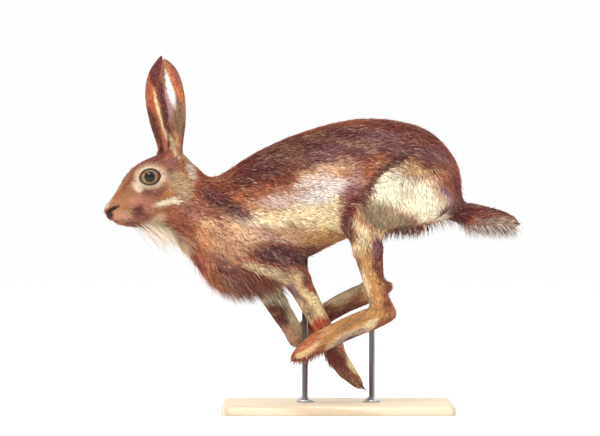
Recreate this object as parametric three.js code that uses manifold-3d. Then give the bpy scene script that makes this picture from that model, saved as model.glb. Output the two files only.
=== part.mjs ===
// Brown hare, life size, gathered in mid-gallop and held on a plain display stand.
// Millimetres, +Z up. The hare runs towards -X, its left side faces -Y, and the origin is
// the middle of the stand's underside.

import * as THREE from "three";
import { mergeVertices } from "three/addons/utils/BufferGeometryUtils.js";
import Module from "manifold-3d";

const wasm = await Module();
wasm.setup();

// Driving sizes
const GAP = 0.3; // between two pieces that touch
const LEFT = -1; // the side of the body that each paired piece is on
const RIGHT = 1;
const SIDES = ["left", "right"];
const LATTICE = 0.01; // corners of cut pieces are rounded to this
const FAR_OUTSIDE = 1000; // a field's value all round the edge of its grid

// The body is a set of limbs. A station is [x, y, z, half depth, half width], the depth being
// measured in the side view and the width along Y.
const TORSO = [
  [-121, 0, 238, 72, 46],
  [-69, 0, 270, 77, 53],
  [-14, 0, 295, 75, 55],
  [39, 0, 308, 73, 54],
  [81, 0, 305, 70, 54],
  [104, 0, 297, 57, 48],
  [127, 0, 280, 33, 28],
];
const NECK = [
  [-213, 0, 285, 41, 28],
  [-187, 0, 263, 41, 29],
  [-164, 0, 252, 49, 34],
  [-125, 0, 240, 68, 42],
];
const BREAST = [
  [-176, 0, 222, 18, 16],
  [-160, 0, 209, 31, 26],
  [-137, 0, 189, 36, 32],
  [-112, 0, 197, 33, 34],
];
const HEAD = [
  [-291, 0, 261, 12, 9],
  [-277, 0, 263.5, 22.5, 15],
  [-258, 0, 272, 33.5, 21],
  [-241, 0, 284, 41.5, 26],
  [-221, 0, 290, 44.5, 29],
];
const TAIL = [
  [143, 0, 266, 14, 11],
  [160, 0, 258, 15, 14],
  [182, 0, 252, 16, 16],
  [207, 0, 248, 14, 14],
  [225, 0, 245, 9, 10],
  [233, 0, 243, 4, 5],
];

// Left and right legs are at different moments of the stride.
const LEGS = {
  left: {
    side: LEFT,
    arm: [
      [-138, 34, 225, 26, 20],
      [-95, 36, 201, 25, 19],
      [-60, 30, 184, 19, 15],
    ],
    forearm: [
      [-60, 28, 184, 18, 14],
      [-44, 25, 155, 15, 13],
      [-26, 22, 121, 13, 12],
      [-8, 20, 87, 11.5, 11.5],
    ],
    forepaw: [
      [-8, 20, 87, 11.5, 12],
      [0, 19.5, 69, 12, 12.5],
      [10, 19, 54, 10.5, 12],
    ],
    foretoes: { from: [7, 19, 58], to: [29, 17.5, 33] },
    thigh: [
      [119, 40, 280, 30, 22],
      [91, 42, 285, 41, 26],
      [57, 44, 272, 37, 25],
      [30, 45, 244, 23, 19],
    ],
    shin: [
      [30, 45, 242, 22, 18],
      [38, 47, 209, 19, 15],
      [43, 49, 181, 15, 13],
      [49, 51, 155, 12.5, 11.5],
      [58, 53, 136, 12, 11.5],
    ],
    hindfoot: [
      [65, 54, 128, 9.5, 10],
      [37, 54, 120, 14.5, 12.5],
      [10, 54, 109, 14, 12.5],
      [-13, 54, 98, 13.5, 13],
      [-30, 53, 90, 12.5, 13],
    ],
    hindtoes: { from: [-24, 53, 92], to: [-57, 52, 72] },
  },
  right: {
    side: RIGHT,
    arm: [
      [-143, 34, 228, 26, 20],
      [-120, 36, 204, 24, 19],
      [-101, 30, 181, 19, 15],
    ],
    forearm: [
      [-101, 28, 181, 18, 14],
      [-83, 25, 144, 15, 13],
      [-66, 22, 116, 13, 12],
      [-52, 20, 95, 11.5, 11.5],
    ],
    forepaw: [
      [-52, 20, 95, 11.5, 12],
      [-32, 20, 92, 11, 12.5],
      [-15, 20, 94, 9, 12],
    ],
    foretoes: { from: [-21, 20, 93], to: [12, 20, 99] },
    thigh: [
      [119, 40, 280, 30, 22],
      [91, 42, 285, 41, 26],
      [57, 44, 272, 37, 25],
      [31, 45, 245, 23, 19],
    ],
    shin: [
      [32, 45, 243, 22, 18],
      [39, 47, 219, 17, 15],
      [44, 49, 196, 12.5, 12.5],
      [48, 52, 172, 10.5, 11.5],
    ],
    hindfoot: [
      [66, 54, 160.5, 9, 10],
      [39, 54, 152, 14, 12.5],
      [9, 54, 139, 13.5, 12.5],
      [-12, 54, 127, 13, 13],
      [-28, 53, 117, 12, 13],
    ],
    hindtoes: { from: [-22, 53, 120], to: [-54, 52, 97] },
  },
};

// Four toes side by side on each paw: [place across the paw, reach]
const TOES = [
  [-1.5, 0.84],
  [-0.5, 1],
  [0.5, 0.98],
  [1.5, 0.8],
];
const TOE_SIZES = {
  fore: { pitch: 5.6, deep: 8.6, wide: 4.4, spread: 0.16 },
  hind: { pitch: 6.6, deep: 11.2, wide: 5.2, spread: 0.14 },
};
const CLAW = { length: 13, sunk: 4, radius: 1.8, tip: 0.25, taper: 1.6, droop: 3, sides: 5, rings: 3 };

// How far two limbs flow into each other where they meet
const FLOW = { neck: 15, breast: 16, head: 14, arm: 14, leg: 16, joint: 9, tail: 10 };

// Eyes
const EYE = { x: -243, y: 19, z: 304, radius: 14 };
const LID = { halfWidth: 12.2, halfHeight: 9.3, thickness: 2, tilt: 0.15 };

// Lines of the mouth and the nostrils, as [x, z] in the side view
const MOUTH = { radius: 1.4, line: [[-297, 250], [-290, 247.5], [-282, 247], [-274, 249]] };
const NOSTRIL = { radius: 2, line: [[-300, 257], [-295, 261.5], [-288, 265]] };

// Ears: a leaf rolled into a tube at its root. Each row is
// [share of the length, radius of the roll, half angle of the roll in degrees, thickness].
const EAR_LEAF = [
  [0, 9.5, 152, 3.4],
  [0.12, 10, 140, 3.2],
  [0.26, 13.5, 112, 3.2],
  [0.42, 17, 92, 3.2],
  [0.58, 17.4, 80, 3.1],
  [0.74, 15, 70, 3.0],
  [0.87, 10.5, 62, 2.8],
  [0.96, 5, 56, 2.4],
  [1, 1, 50, 1.6],
];
const EAR_CLEARANCE = { radius: 13, height: 60 }; // cut off the head where an ear stands
const EARS = {
  left: {
    spine: [
      [-213, -13, 334],
      [-210, -17, 365],
      [-213, -21, 392],
      [-217, -24, 418],
      [-220, -25, 438],
      [-225, -26, 456],
    ],
    opening: [-0.42, -0.91, 0],
  },
  right: {
    spine: [
      [-220, 13, 335],
      [-227, 16, 363],
      [-235, 19, 392],
      [-242, 21, 420],
      [-241, 22.5, 443],
      [-231, 23, 463],
    ],
    opening: [-0.8, -0.6, 0],
  },
};

// Stand
const STAND = { length: 300, width: 170, thickness: 12, corner: 14, bevel: 1.5 };
const ROD = { radius: 4, collarRadius: 11, collarHeight: 6, sunk: 22 };
const RODS = { front: { x: -43, meets: 193 }, rear: { x: 44, meets: 235 } };

// Colours, roughness and metalness
const look = (color, roughness, metalness = 0) =>
  new THREE.MeshStandardMaterial({ color, roughness, metalness });
const FUR = look(0x8a5a3a, 0.9);
const DARK_FUR = look(0x3a2419, 0.9);
const PALE_FUR = look(0xd8c4a0, 0.9);
const EYE_GLOSS = look(0x8a5a1e, 0.1);
const CLAW_HORN = look(0x2c2320, 0.45);
const BASE_WOOD = look(0xc7a77c, 0.55);
const ROD_STEEL = look(0xb4b6b8, 0.3, 1);

// Fields: each takes a point and gives about how far outside the surface it is.

// A limb through stations, with an oval section that changes smoothly along it
function limb(stations, side = 1) {
  const stepsPerStation = 5;
  const last = stations.length - 1;
  const spine = new THREE.CatmullRomCurve3(
    stations.map(([x, y, z]) => new THREE.Vector3(x, y * side, z)),
  );
  const girth = new THREE.CatmullRomCurve3(
    stations.map(([, , , deep, wide]) => new THREE.Vector3(deep, wide, 0)),
  );
  const beads = Array.from({ length: last * stepsPerStation + 1 }, (_, i) => {
    const share = i / (last * stepsPerStation);
    return { at: spine.getPoint(share), size: girth.getPoint(share) };
  });
  return (x, y, z) => {
    let nearest = Infinity;
    for (let i = 1; i < beads.length; i++) {
      const a = beads[i - 1].at;
      const b = beads[i].at;
      const [ux, uy, uz] = [b.x - a.x, b.y - a.y, b.z - a.z];
      const along = (x - a.x) * ux + (y - a.y) * uy + (z - a.z) * uz;
      const t = Math.min(1, Math.max(0, along / (ux * ux + uy * uy + uz * uz)));
      const [qx, qy, qz] = [x - a.x - ux * t, y - a.y - uy * t, z - a.z - uz * t];
      const deep = beads[i - 1].size.x * (1 - t) + beads[i].size.x * t;
      const wide = beads[i - 1].size.y * (1 - t) + beads[i].size.y * t;
      nearest = Math.min(nearest, ovalDistance(qx, qy, qz, deep, wide, deep));
    }
    return nearest;
  };
}

function ovalDistance(x, y, z, rx, ry, rz) {
  const k0 = Math.hypot(x / rx, y / ry, z / rz);
  const k1 = Math.hypot(x / rx ** 2, y / ry ** 2, z / rz ** 2);
  return k1 < 1e-9 ? -Math.min(rx, ry, rz) : (k0 * (k0 - 1)) / k1;
}

const bulge = ([cx, cy, cz], [rx, ry, rz]) => (x, y, z) =>
  ovalDistance(x - cx, y - cy, z - cz, rx, ry, rz);

// Two fields that flow into each other over a given distance
const flow = (reach, a, b) => (x, y, z) => {
  const [p, q] = [a(x, y, z), b(x, y, z)];
  const h = Math.max(reach - Math.abs(p - q), 0) / reach;
  return Math.min(p, q) - (h * h * reach) / 4;
};

// The first field with the second one hollowed out of it
const hollow = (reach, a, b) => {
  const inverse = flow(reach, (x, y, z) => -a(x, y, z), b);
  return (x, y, z) => -inverse(x, y, z);
};

// A field with the same thing flowing into it on each side
const both = (reach, field, make) =>
  [LEFT, RIGHT].reduce((f, side) => flow(reach, f, make(side)), field);

// Surface of a field as a closed solid, on a grid whose lines are given for each axis.
// Each grid cell that the surface crosses gets one vertex, settled onto the surface.
function surfaceOf(field, xs, ys, zs) {
  const counts = [xs.length, ys.length, zs.length];
  const ticksOf = [xs, ys, zs];
  const strides = [1, counts[0], counts[0] * counts[1]];
  const value = new Float64Array(counts[0] * counts[1] * counts[2]);
  const edgeOfGrid = (i, n) => i === 0 || i === n - 1;
  for (let k = 0, at = 0; k < counts[2]; k++)
    for (let j = 0; j < counts[1]; j++)
      for (let i = 0; i < counts[0]; i++, at++) {
        value[at] = field(xs[i], ys[j], zs[k]);
        if (edgeOfGrid(i, counts[0]) || edgeOfGrid(j, counts[1]) || edgeOfGrid(k, counts[2]))
          value[at] = Math.max(value[at], FAR_OUTSIDE);
      }
  partDiagonals(value, counts, strides);
  const vertexOf = new Int32Array(value.length).fill(-1);
  const points = [];
  for (let k = 0; k < counts[2] - 1; k++)
    for (let j = 0; j < counts[1] - 1; j++)
      for (let i = 0; i < counts[0] - 1; i++) {
        const cell = [i, j, k];
        const at = i + j * strides[1] + k * strides[2];
        const crossing = meanCrossing(value, cell, at, strides, ticksOf);
        if (!crossing) continue;
        vertexOf[at] = points.length / 3;
        points.push(...settled(field, crossing, cell, ticksOf));
      }
  const triangles = [];
  const corner = (v) => new THREE.Vector3().fromArray(points, v * 3);
  for (let axis = 0; axis < 3; axis++) {
    const [u, w] = [strides[(axis + 1) % 3], strides[(axis + 2) % 3]];
    for (let at = 0; at < value.length - strides[axis]; at++) {
      const inside = value[at] < 0;
      if (inside === value[at + strides[axis]] < 0) continue;
      const ring = [at - u - w, at - w, at, at - u].map((c) => vertexOf[c]);
      if (!inside) ring.reverse();
      const [a, b, c, d] = ring;
      if (corner(a).distanceTo(corner(c)) < corner(b).distanceTo(corner(d)))
        triangles.push(a, b, c, a, c, d);
      else triangles.push(a, b, d, b, c, d);
    }
  }
  return largest(
    new wasm.Manifold(
      new wasm.Mesh({
        numProp: 3,
        vertProperties: new Float32Array(points),
        triVerts: new Uint32Array(triangles),
      }),
    ),
  );
}

// Where a grid square has its inside corners on one diagonal and its outside corners on the
// other, the corner nearest the surface changes sides, so that no two sheets share an edge.
function partDiagonals(value, counts, strides) {
  const smallest = 1e-6;
  for (let changed = true; changed; ) {
    changed = false;
    for (let at = 0; at < value.length; at++) {
      const place = strides.map((stride, a) => Math.floor(at / stride) % counts[a]);
      for (let a = 0; a < 3; a++) {
        const b = (a + 1) % 3;
        if (place[a] === counts[a] - 1 || place[b] === counts[b] - 1) continue;
        const square = [at, at + strides[a], at + strides[a] + strides[b], at + strides[b]];
        const [p, q, r, s] = square.map((c) => value[c] < 0);
        if (p !== r || q !== s || p === q) continue;
        const nearest = square.reduce((m, c) => (Math.abs(value[c]) < Math.abs(value[m]) ? c : m));
        value[nearest] = value[nearest] < 0 ? smallest : -smallest;
        changed = true;
      }
    }
  }
}

// Mean of the points where the surface crosses a cell's twelve edges, or null
function meanCrossing(value, cell, at, strides, ticksOf) {
  const sum = [0, 0, 0];
  let crossings = 0;
  for (let axis = 0; axis < 3; axis++)
    for (let corner = 0; corner < 4; corner++) {
      const others = [(axis + 1) % 3, (axis + 2) % 3];
      const steps = [0, 0, 0];
      steps[others[0]] = corner & 1;
      steps[others[1]] = corner >> 1;
      const from = at + steps[0] * strides[0] + steps[1] * strides[1] + steps[2] * strides[2];
      const [p, q] = [value[from], value[from + strides[axis]]];
      if (p < 0 === q < 0) continue;
      crossings++;
      for (let a = 0; a < 3; a++) {
        const start = ticksOf[a][cell[a] + steps[a]];
        const end = a === axis ? ticksOf[a][cell[a] + 1] : start;
        sum[a] += start + ((end - start) * p) / (p - q);
      }
    }
  return crossings ? sum.map((s) => s / crossings) : null;
}

// A vertex moved down the field's slope to the surface, without leaving the middle of its cell
function settled(field, point, cell, ticksOf) {
  const margin = 0.04;
  const probe = 0.05;
  let p = [...point];
  for (let round = 0; round < 3; round++) {
    const here = field(...p);
    const slope = p.map((_, a) => {
      const q = [...p];
      q[a] += probe;
      return (field(...q) - here) / probe;
    });
    const steep = slope.reduce((s, g) => s + g * g, 1e-6);
    p = p.map((v, a) => {
      const [low, high] = [ticksOf[a][cell[a]], ticksOf[a][cell[a] + 1]];
      const inset = (high - low) * margin;
      return Math.min(high - inset, Math.max(low + inset, v - (here * slope[a]) / steep));
    });
  }
  return p;
}

// Grid lines: each span is [from, to, step], the next span starting where the last ends
function ticks(...spans) {
  const lines = [spans[0][0]];
  for (const [from, to, step] of spans) {
    const count = Math.max(1, Math.round((to - from) / step));
    for (let i = 1; i <= count; i++) lines.push(from + ((to - from) * i) / count);
  }
  return lines;
}

// Solids
function solidOf(geometry) {
  const weld = 1e-4;
  const bare = geometry.clone();
  for (const name of Object.keys(bare.attributes)) {
    if (name !== "position") bare.deleteAttribute(name);
  }
  const merged = mergeVertices(bare, weld);
  return new wasm.Manifold(
    new wasm.Mesh({
      numProp: 3,
      vertProperties: new Float32Array(merged.attributes.position.array),
      triVerts: new Uint32Array(merged.index.array),
    }),
  );
}

function largest(solid) {
  const bodies = solid.decompose();
  return bodies.reduce((a, b) => (a.volume() > b.volume() ? a : b));
}

// The geometry of a solid, with its corners on a fine lattice, so that none lie almost together
function geometryOf(solid) {
  const { vertProperties, triVerts } = solid.getMesh();
  const positions = vertProperties.map((v) => Math.round(v / LATTICE) * LATTICE);
  const firstAt = new Map();
  const corners = Array.from(triVerts, (v) => {
    const key = positions.slice(v * 3, v * 3 + 3).join();
    if (!firstAt.has(key)) firstAt.set(key, v);
    return firstAt.get(key);
  });
  const index = [];
  for (let i = 0; i < corners.length; i += 3) {
    const [a, b, c] = corners.slice(i, i + 3);
    if (a !== b && b !== c && c !== a) index.push(a, b, c);
  }
  const geometry = new THREE.BufferGeometry();
  geometry.setAttribute("position", new THREE.BufferAttribute(positions, 3));
  geometry.setIndex(index);
  geometry.computeVertexNormals();
  return geometry;
}

// All of space on the side of a plane that it faces
function halfSpace(at, facing) {
  const reach = 2000;
  const box = new THREE.BoxGeometry(reach, reach, reach).translate(0, 0, reach / 2);
  const turn = new THREE.Quaternion().setFromUnitVectors(
    new THREE.Vector3(0, 0, 1),
    new THREE.Vector3(...facing).normalize(),
  );
  return solidOf(box.applyQuaternion(turn).translate(...at));
}

// A seam is a plane that faces along the body from nose to tail, or down a leg.
const seam = (at, facing) => {
  const way = new THREE.Vector3(...facing).normalize();
  const middle = new THREE.Vector3(...at);
  const back = middle.clone().addScaledVector(way, -GAP / 2);
  const on = middle.clone().addScaledVector(way, GAP / 2);
  return {
    before: (solid) => solid.subtract(halfSpace(back.toArray(), way.toArray())),
    after: (solid) => solid.subtract(halfSpace(on.toArray(), way.clone().negate().toArray())),
  };
};

// A block standing on the body's flank, with a long round outline in the side view, whose
// inner face leans in towards its foot. It takes a leg's root off the trunk.
function flankBlock({ from, to, inner, lean }, side, grown = 0) {
  const depth = 120;
  const [ax, az, ar] = from;
  const [bx, bz, br] = to;
  const [ra, rb] = [ar + grown, br + grown];
  const length = Math.hypot(bx - ax, bz - az);
  const heading = Math.atan2(bz - az, bx - ax);
  const splay = Math.acos((ra - rb) / length);
  const outline = new THREE.Shape();
  outline.absarc(ax, az, ra, heading + splay, heading - splay + 2 * Math.PI, false);
  outline.absarc(bx, bz, rb, heading - splay, heading + splay, false);
  const arc = 6;
  const block = new THREE.ExtrudeGeometry(outline, { depth, bevelEnabled: false, curveSegments: arc });
  const top = Math.max(az + ra, bz + rb);
  block.rotateX(Math.PI / 2).translate(0, side === LEFT ? 0 : depth, -top);
  block.rotateX(-side * lean).translate(0, side * (inner - grown), top);
  return solidOf(block);
}

// The line of each toe, from inside the paw to its tip
function toeLines({ from, to }, { pitch, spread }, side) {
  const root = new THREE.Vector3(from[0], from[1] * side, from[2]);
  const tip = new THREE.Vector3(to[0], to[1] * side, to[2]);
  return TOES.map(([place, reach]) => {
    const start = root.clone();
    start.y += place * pitch * (1 - spread);
    const end = root.clone().lerp(tip, reach);
    end.y += place * pitch * (1 + spread);
    return { start, end };
  });
}

function toePad(lines, { deep, wide }) {
  const toes = lines.map(({ start, end }) => {
    const knuckle = start.clone().lerp(end, 0.6);
    return limb([
      [...start.toArray(), deep, wide],
      [...knuckle.toArray(), deep * 0.98, wide],
      [...end.toArray(), deep * 0.55, wide * 0.75],
    ]);
  });
  return toes.reduce((a, b) => flow(1.5, a, b));
}

const toesOf = (leg, paw) => toeLines(leg[`${paw}toes`], TOE_SIZES[paw], leg.side);

const legFields = Object.fromEntries(
  Object.entries(LEGS).map(([name, leg]) => {
    const part = (stations) => limb(stations, leg.side);
    return [
      name,
      {
        arm: part(leg.arm),
        forearm: part(leg.forearm),
        forepaw: flow(5, part(leg.forepaw), toePad(toesOf(leg, "fore"), TOE_SIZES.fore)),
        thigh: part(leg.thigh),
        shin: part(leg.shin),
        hindfoot: flow(5, part(leg.hindfoot), toePad(toesOf(leg, "hind"), TOE_SIZES.hind)),
      },
    ];
  }),
);

// Trunk, with the roots of the limbs and the tail flowing out of it
const torsoAndNeck = flow(FLOW.neck, limb(TORSO), limb(NECK));
const bareTrunk = flow(FLOW.breast, torsoAndNeck, limb(BREAST));
const armedTrunk = SIDES.reduce((f, name) => flow(FLOW.arm, f, legFields[name].arm), bareTrunk);
const trunk = SIDES.reduce((f, name) => flow(FLOW.leg, f, legFields[name].thigh), armedTrunk);
const trunkAndTail = flow(FLOW.tail, trunk, limb(TAIL));

// Head: whisker pads, cheeks, lids over the eyes, brows, and a hollow in front of each eye
const faceLumps = (side) =>
  [
    bulge([-280, 8 * side, 257], [13, 9, 11]), // whisker pad
    bulge([-293, 3 * side, 259], [8, 6, 8]), // nose
    bulge([-226, 21 * side, 272], [22, 12, 24]), // cheek
    bulge(eyeAt(side), Array(3).fill(EYE.radius + LID.thickness)), // lids
    bulge([-240, 17 * side, 318], [17, 9, 8]), // brow
    bulge([-215, 12 * side, 326], [15, 13, 11]), // root of the ear
  ].reduce((a, b) => flow(7, a, b));
const eyeAt = (side) => [EYE.x, EYE.y * side, EYE.z];
const skull = both(10, limb(HEAD), faceLumps);
const hollowed = [LEFT, RIGHT].reduce(
  (f, side) => hollow(9, f, bulge([-267, 24 * side, 289], [15, 6, 9])),
  skull,
);
const headField = flow(FLOW.head, hollowed, bareTrunk);

const eyeBall = (grown = 0) =>
  new THREE.SphereGeometry(EYE.radius + grown, 16, 10).rotateX(Math.PI / 2);

// The opening between the lids: an almond, long from corner to corner, cut out of the lids
function lidOpening(side) {
  const { halfWidth: w, halfHeight: h, tilt } = LID;
  const depth = 40;
  const almond = new THREE.Shape();
  almond.moveTo(-w, 0);
  almond.bezierCurveTo(-w * 0.72, -h * 1.3, w * 0.5, -h * 1.36, w, 0);
  almond.bezierCurveTo(w * 0.62, h * 1.36, -w * 0.6, h * 1.34, -w, 0);
  const plug = new THREE.ExtrudeGeometry(almond, { depth, bevelEnabled: false, curveSegments: 9 });
  plug.rotateZ(tilt).rotateX(Math.PI / 2);
  if (side === RIGHT) plug.translate(0, depth, 0);
  return solidOf(plug.translate(...eyeAt(side)));
}

// A groove of round section along points given as [x, z] in the side view, laid on the skin
function groove(field, line, radius, side) {
  const onSkin = line.map(([x, z]) => new THREE.Vector3(x, skinAt(field, x, z) * side, z));
  const extrudePath = new THREE.CatmullRomCurve3(onSkin);
  const section = new THREE.Shape().absarc(0, 0, radius, 0, 2 * Math.PI);
  const sizes = { extrudePath, steps: 8, curveSegments: 3, bevelEnabled: false };
  return solidOf(new THREE.ExtrudeGeometry(section, sizes));
}

// How far the skin stands out along Y at a point of the side view
function skinAt(field, x, z) {
  const halvings = 24;
  let [inner, outer] = [0, 80];
  for (let i = 0; i < halvings; i++) {
    const y = (inner + outer) / 2;
    if (field(x, y, z) < 0) inner = y;
    else outer = y;
  }
  return inner;
}

// Seams between the pieces of the body
const SEAMS = {
  nape: seam([-210, 0, 285], [0.921, 0, -0.389]),
  shoulders: seam([-173, 0, 249], [0.978, 0, -0.203]),
  ribs: seam([-45, 0, 270], [1, 0, 0]),
  loin: seam([50, 0, 300], [1, 0, 0]),
  dock: seam([163, 0, 257], [0.96, 0, -0.28]),
};
const BLOCKS = {
  left: {
    arm: { from: [-138, 225, 32], to: [-61, 180, 22], inner: 33, lean: 0.25 },
    elbow: [[-52, -27, 170], [0.48, 0, -0.88]],
    wrist: [[-8, -20, 87], [0.5, 0, -0.87]],
  },
  right: {
    arm: { from: [-143, 228, 32], to: [-97, 170, 27], inner: 33, lean: 0.25 },
    elbow: [[-90, 26, 157], [0.45, 0, -0.89]],
    wrist: [[-54, 20, 98], [0.7, 0, -0.7]],
  },
};
const THIGH_BLOCK = { from: [98, 272, 53], to: [28, 240, 27], inner: 39, lean: 0.12 };
const KNEES = { left: [[37, -47, 214], [0.22, 0, -0.975]], right: [[40, 47, 219], [0.35, 0, -0.94]] };
const HOCKS = { left: [[50, -53, 133], [-0.1, 0, -1]], right: [[50, 53, 168], [-0.1, 0, -1]] };

const nodes = [];
const node = (name, solid, material) =>
  nodes.push({ name, geometry: geometryOf(largest(solid)), material });

const pair = (make) => SIDES.map(make).reduce((a, b) => a.add(b));
const armBlocks = (grown) => pair((name) => flankBlock(BLOCKS[name].arm, LEGS[name].side, grown));
const thighBlocks = (grown) => pair((name) => flankBlock(THIGH_BLOCK, LEGS[name].side, grown));

const TRUNK_STEP = 16;
const AROUND_TRUNK = ticks([-78, 78, TRUNK_STEP]);

// Rods of the stand, which run up into the body
function rod({ x, meets }, grown = 0) {
  const foot = STAND.thickness + GAP;
  const top = meets + ROD.sunk + grown;
  const shaft = new THREE.CylinderGeometry(ROD.radius + grown, ROD.radius + grown, top - foot, 14);
  shaft.rotateX(Math.PI / 2).translate(x, 0, (top + foot) / 2);
  const collar = new THREE.CylinderGeometry(ROD.radius + 2, ROD.collarRadius, ROD.collarHeight, 18);
  collar.rotateX(Math.PI / 2).translate(x, 0, foot + ROD.collarHeight / 2);
  return solidOf(shaft).add(solidOf(collar));
}
const rodHoles = rod(RODS.front, GAP).add(rod(RODS.rear, GAP));

// Head
{
  let head = surfaceOf(
    headField,
    ticks([-312, -276, 4.4], [-276, -224, 6.4], [-224, -186, 10]),
    ticks([-42, -14, 6.4], [-14, 14, 4.7], [14, 42, 6.4]),
    ticks([232, 246, 7], [246, 280, 5], [280, 324, 6.3], [324, 356, 8]),
  );
  head = SEAMS.nape.before(head);
  for (const side of [LEFT, RIGHT]) {
    head = head.subtract(solidOf(eyeBall(GAP).translate(...eyeAt(side)))).subtract(lidOpening(side));
    head = head.subtract(groove(headField, MOUTH.line, MOUTH.radius, side));
    head = head.subtract(groove(headField, NOSTRIL.line, NOSTRIL.radius, side));
  }
  for (const name of SIDES) {
    const { seat, up } = earRoot(EARS[name]);
    const { radius, height } = EAR_CLEARANCE;
    const clear = new THREE.CylinderGeometry(radius, radius, height, 20).translate(0, height / 2, 0);
    clear.applyQuaternion(new THREE.Quaternion().setFromUnitVectors(new THREE.Vector3(0, 1, 0), up));
    head = head.subtract(solidOf(clear.translate(...seat.toArray())));
  }
  node("head", head, FUR);
}

// Where an ear meets the head, and the way it grows
function earRoot({ spine }) {
  const [root, next] = spine.slice(0, 2).map((p) => new THREE.Vector3(...p));
  return { seat: root, up: next.clone().sub(root).normalize() };
}

// An ear: the rolled leaf swept up its spine, a thick skin with its back and its cup
function ear({ spine, opening }) {
  const curve = new THREE.CatmullRomCurve3(spine.map((p) => new THREE.Vector3(...p)));
  const rows = 11;
  const across = 9;
  const thinning = 0.22; // of the leaf towards its rims
  const set = 0.25; // of the roll's radius, how far the roll stands in front of its spine
  const { up } = earRoot({ spine });
  const points = [];
  const rolls = EAR_LEAF.map(([, radius, spread, thick]) => new THREE.Vector3(radius, spread, thick));
  const profile = new THREE.CatmullRomCurve3(rolls);
  const shares = EAR_LEAF.map(([s]) => s);
  const leafAt = (share) => {
    const k = Math.min(shares.length - 2, shares.findIndex((s, i) => share <= shares[i + 1]));
    const part = (share - shares[k]) / (shares[k + 1] - shares[k]);
    return profile.getPoint((k + part) / (shares.length - 1));
  };
  for (let i = 0; i <= rows; i++) {
    const share = i / rows;
    const centre = curve.getPoint(share);
    const along = i === 0 ? up : curve.getTangent(share);
    const face = new THREE.Vector3(...opening);
    face.addScaledVector(along, -face.dot(along)).normalize();
    const flank = new THREE.Vector3().crossVectors(along, face);
    const { x: radius, y: spread, z: thick } = leafAt(share);
    const ring = [];
    for (const out of [1, -1])
      for (let j = 0; j <= across; j++) {
        const swing = (out * (2 * j - across)) / across;
        const turn = THREE.MathUtils.degToRad(spread) * swing;
        const wall = thick * (0.5 - thinning * swing ** 4);
        const r = radius + out * wall;
        const p = centre.clone().addScaledVector(flank, r * Math.sin(turn));
        p.addScaledVector(face, -r * Math.cos(turn) + radius * set);
        ring.push(p.addScaledVector(up, i === 0 ? GAP : 0));
      }
    points.push(ring);
  }
  return solidOf(loft(points));
}

// A closed body through rings of points, capped flat at both ends by a strip across each ring
function loft(rings) {
  const around = rings[0].length;
  const index = [];
  rings.slice(1).forEach((_, i) => {
    for (let j = 0; j < around; j++) {
      const [a, b] = [i * around + j, i * around + ((j + 1) % around)];
      index.push(a, b + around, b, a, a + around, b + around);
    }
  });
  const last = (rings.length - 1) * around;
  for (let j = 0; j < around / 2 - 1; j++) {
    const [a, b, c, d] = [j, j + 1, around - 2 - j, around - 1 - j];
    index.push(a, b, d, b, c, d);
    index.push(last + a, last + d, last + b, last + b, last + d, last + c);
  }
  const geometry = new THREE.BufferGeometry().setFromPoints(rings.flat());
  geometry.setIndex(index);
  return geometry;
}

for (const name of SIDES) node(`ear_${name}`, ear(EARS[name]), FUR);

// Neck, chest, belly, rump and tail
{
  const neck = surfaceOf(headField, ticks([-240, -144, 12]), ticks([-60, 60, 12]), ticks([180, 348, 12]));
  node("neck", SEAMS.shoulders.before(SEAMS.nape.after(neck)), FUR);

  const arms = armBlocks(GAP);
  const thighs = thighBlocks(GAP);
  const trunkPiece = (field, x, z) =>
    surfaceOf(field, ticks([...x, TRUNK_STEP]), AROUND_TRUNK, ticks([...z, TRUNK_STEP]));

  const chest = trunkPiece(armedTrunk, [-208, -28], [136, 372]).subtract(arms).subtract(rodHoles);
  node("chest", SEAMS.ribs.before(SEAMS.shoulders.after(chest)), FUR);

  const belly = trunkPiece(trunk, [-72, 77], [170, 400]).subtract(arms).subtract(thighs).subtract(rodHoles);
  node("belly", SEAMS.loin.before(SEAMS.ribs.after(belly)), FUR);

  const rump = trunkPiece(trunkAndTail, [28, 184], [200, 400]).subtract(thighs).subtract(rodHoles);
  node("rump", SEAMS.dock.before(SEAMS.loin.after(rump)), FUR);

  const tail = surfaceOf(trunkAndTail, ticks([148, 245, 8]), ticks([-28, 28, 7]), ticks([222, 285, 7]));
  node("tail", SEAMS.dock.after(tail), DARK_FUR);
}

// Claws: each a curved, tapering horn, its root in a socket in the tip of its toe
function claw({ start, end }, bend, grown = 0) {
  const way = end.clone().sub(start).normalize();
  const rings = Array.from({ length: CLAW.rings + 1 }, (_, i) => {
    const share = i / CLAW.rings;
    const radius = CLAW.radius * (1 - share ** CLAW.taper) + CLAW.tip + grown;
    const centre = end.clone().addScaledVector(way, share * CLAW.length - CLAW.sunk - (i ? 0 : grown));
    centre.addScaledVector(bend, CLAW.droop * share ** 2);
    const flank = new THREE.Vector3(0, 1, 0).addScaledVector(way, -way.y).normalize();
    const back = new THREE.Vector3().crossVectors(way, flank);
    return Array.from({ length: CLAW.sides }, (_, j) => {
      const turn = (-2 * Math.PI * j) / CLAW.sides;
      const p = centre.clone().addScaledVector(flank, radius * Math.cos(turn));
      return p.addScaledVector(back, radius * Math.sin(turn));
    });
  });
  return solidOf(loft(rings));
}

// Each claw bends towards the sole, which faces back on a forepaw and down on a hind foot.
function clawsOf(leg, paw) {
  const { from, to } = leg[`${paw}toes`];
  const sole = new THREE.Vector3(from[2] - to[2], 0, to[0] - from[0]).normalize();
  return toesOf(leg, paw).map((line) => ({ line, sole }));
}

function pawWithClaws(name, solid, material, leg, paw) {
  const claws = clawsOf(leg, paw);
  const socketed = claws.reduce((s, { line, sole }) => s.subtract(claw(line, sole, GAP)), solid);
  node(name, socketed, material);
  claws.forEach(({ line, sole }, i) => node(`claw_${name}_${i + 1}`, claw(line, sole), CLAW_HORN));
}

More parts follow.
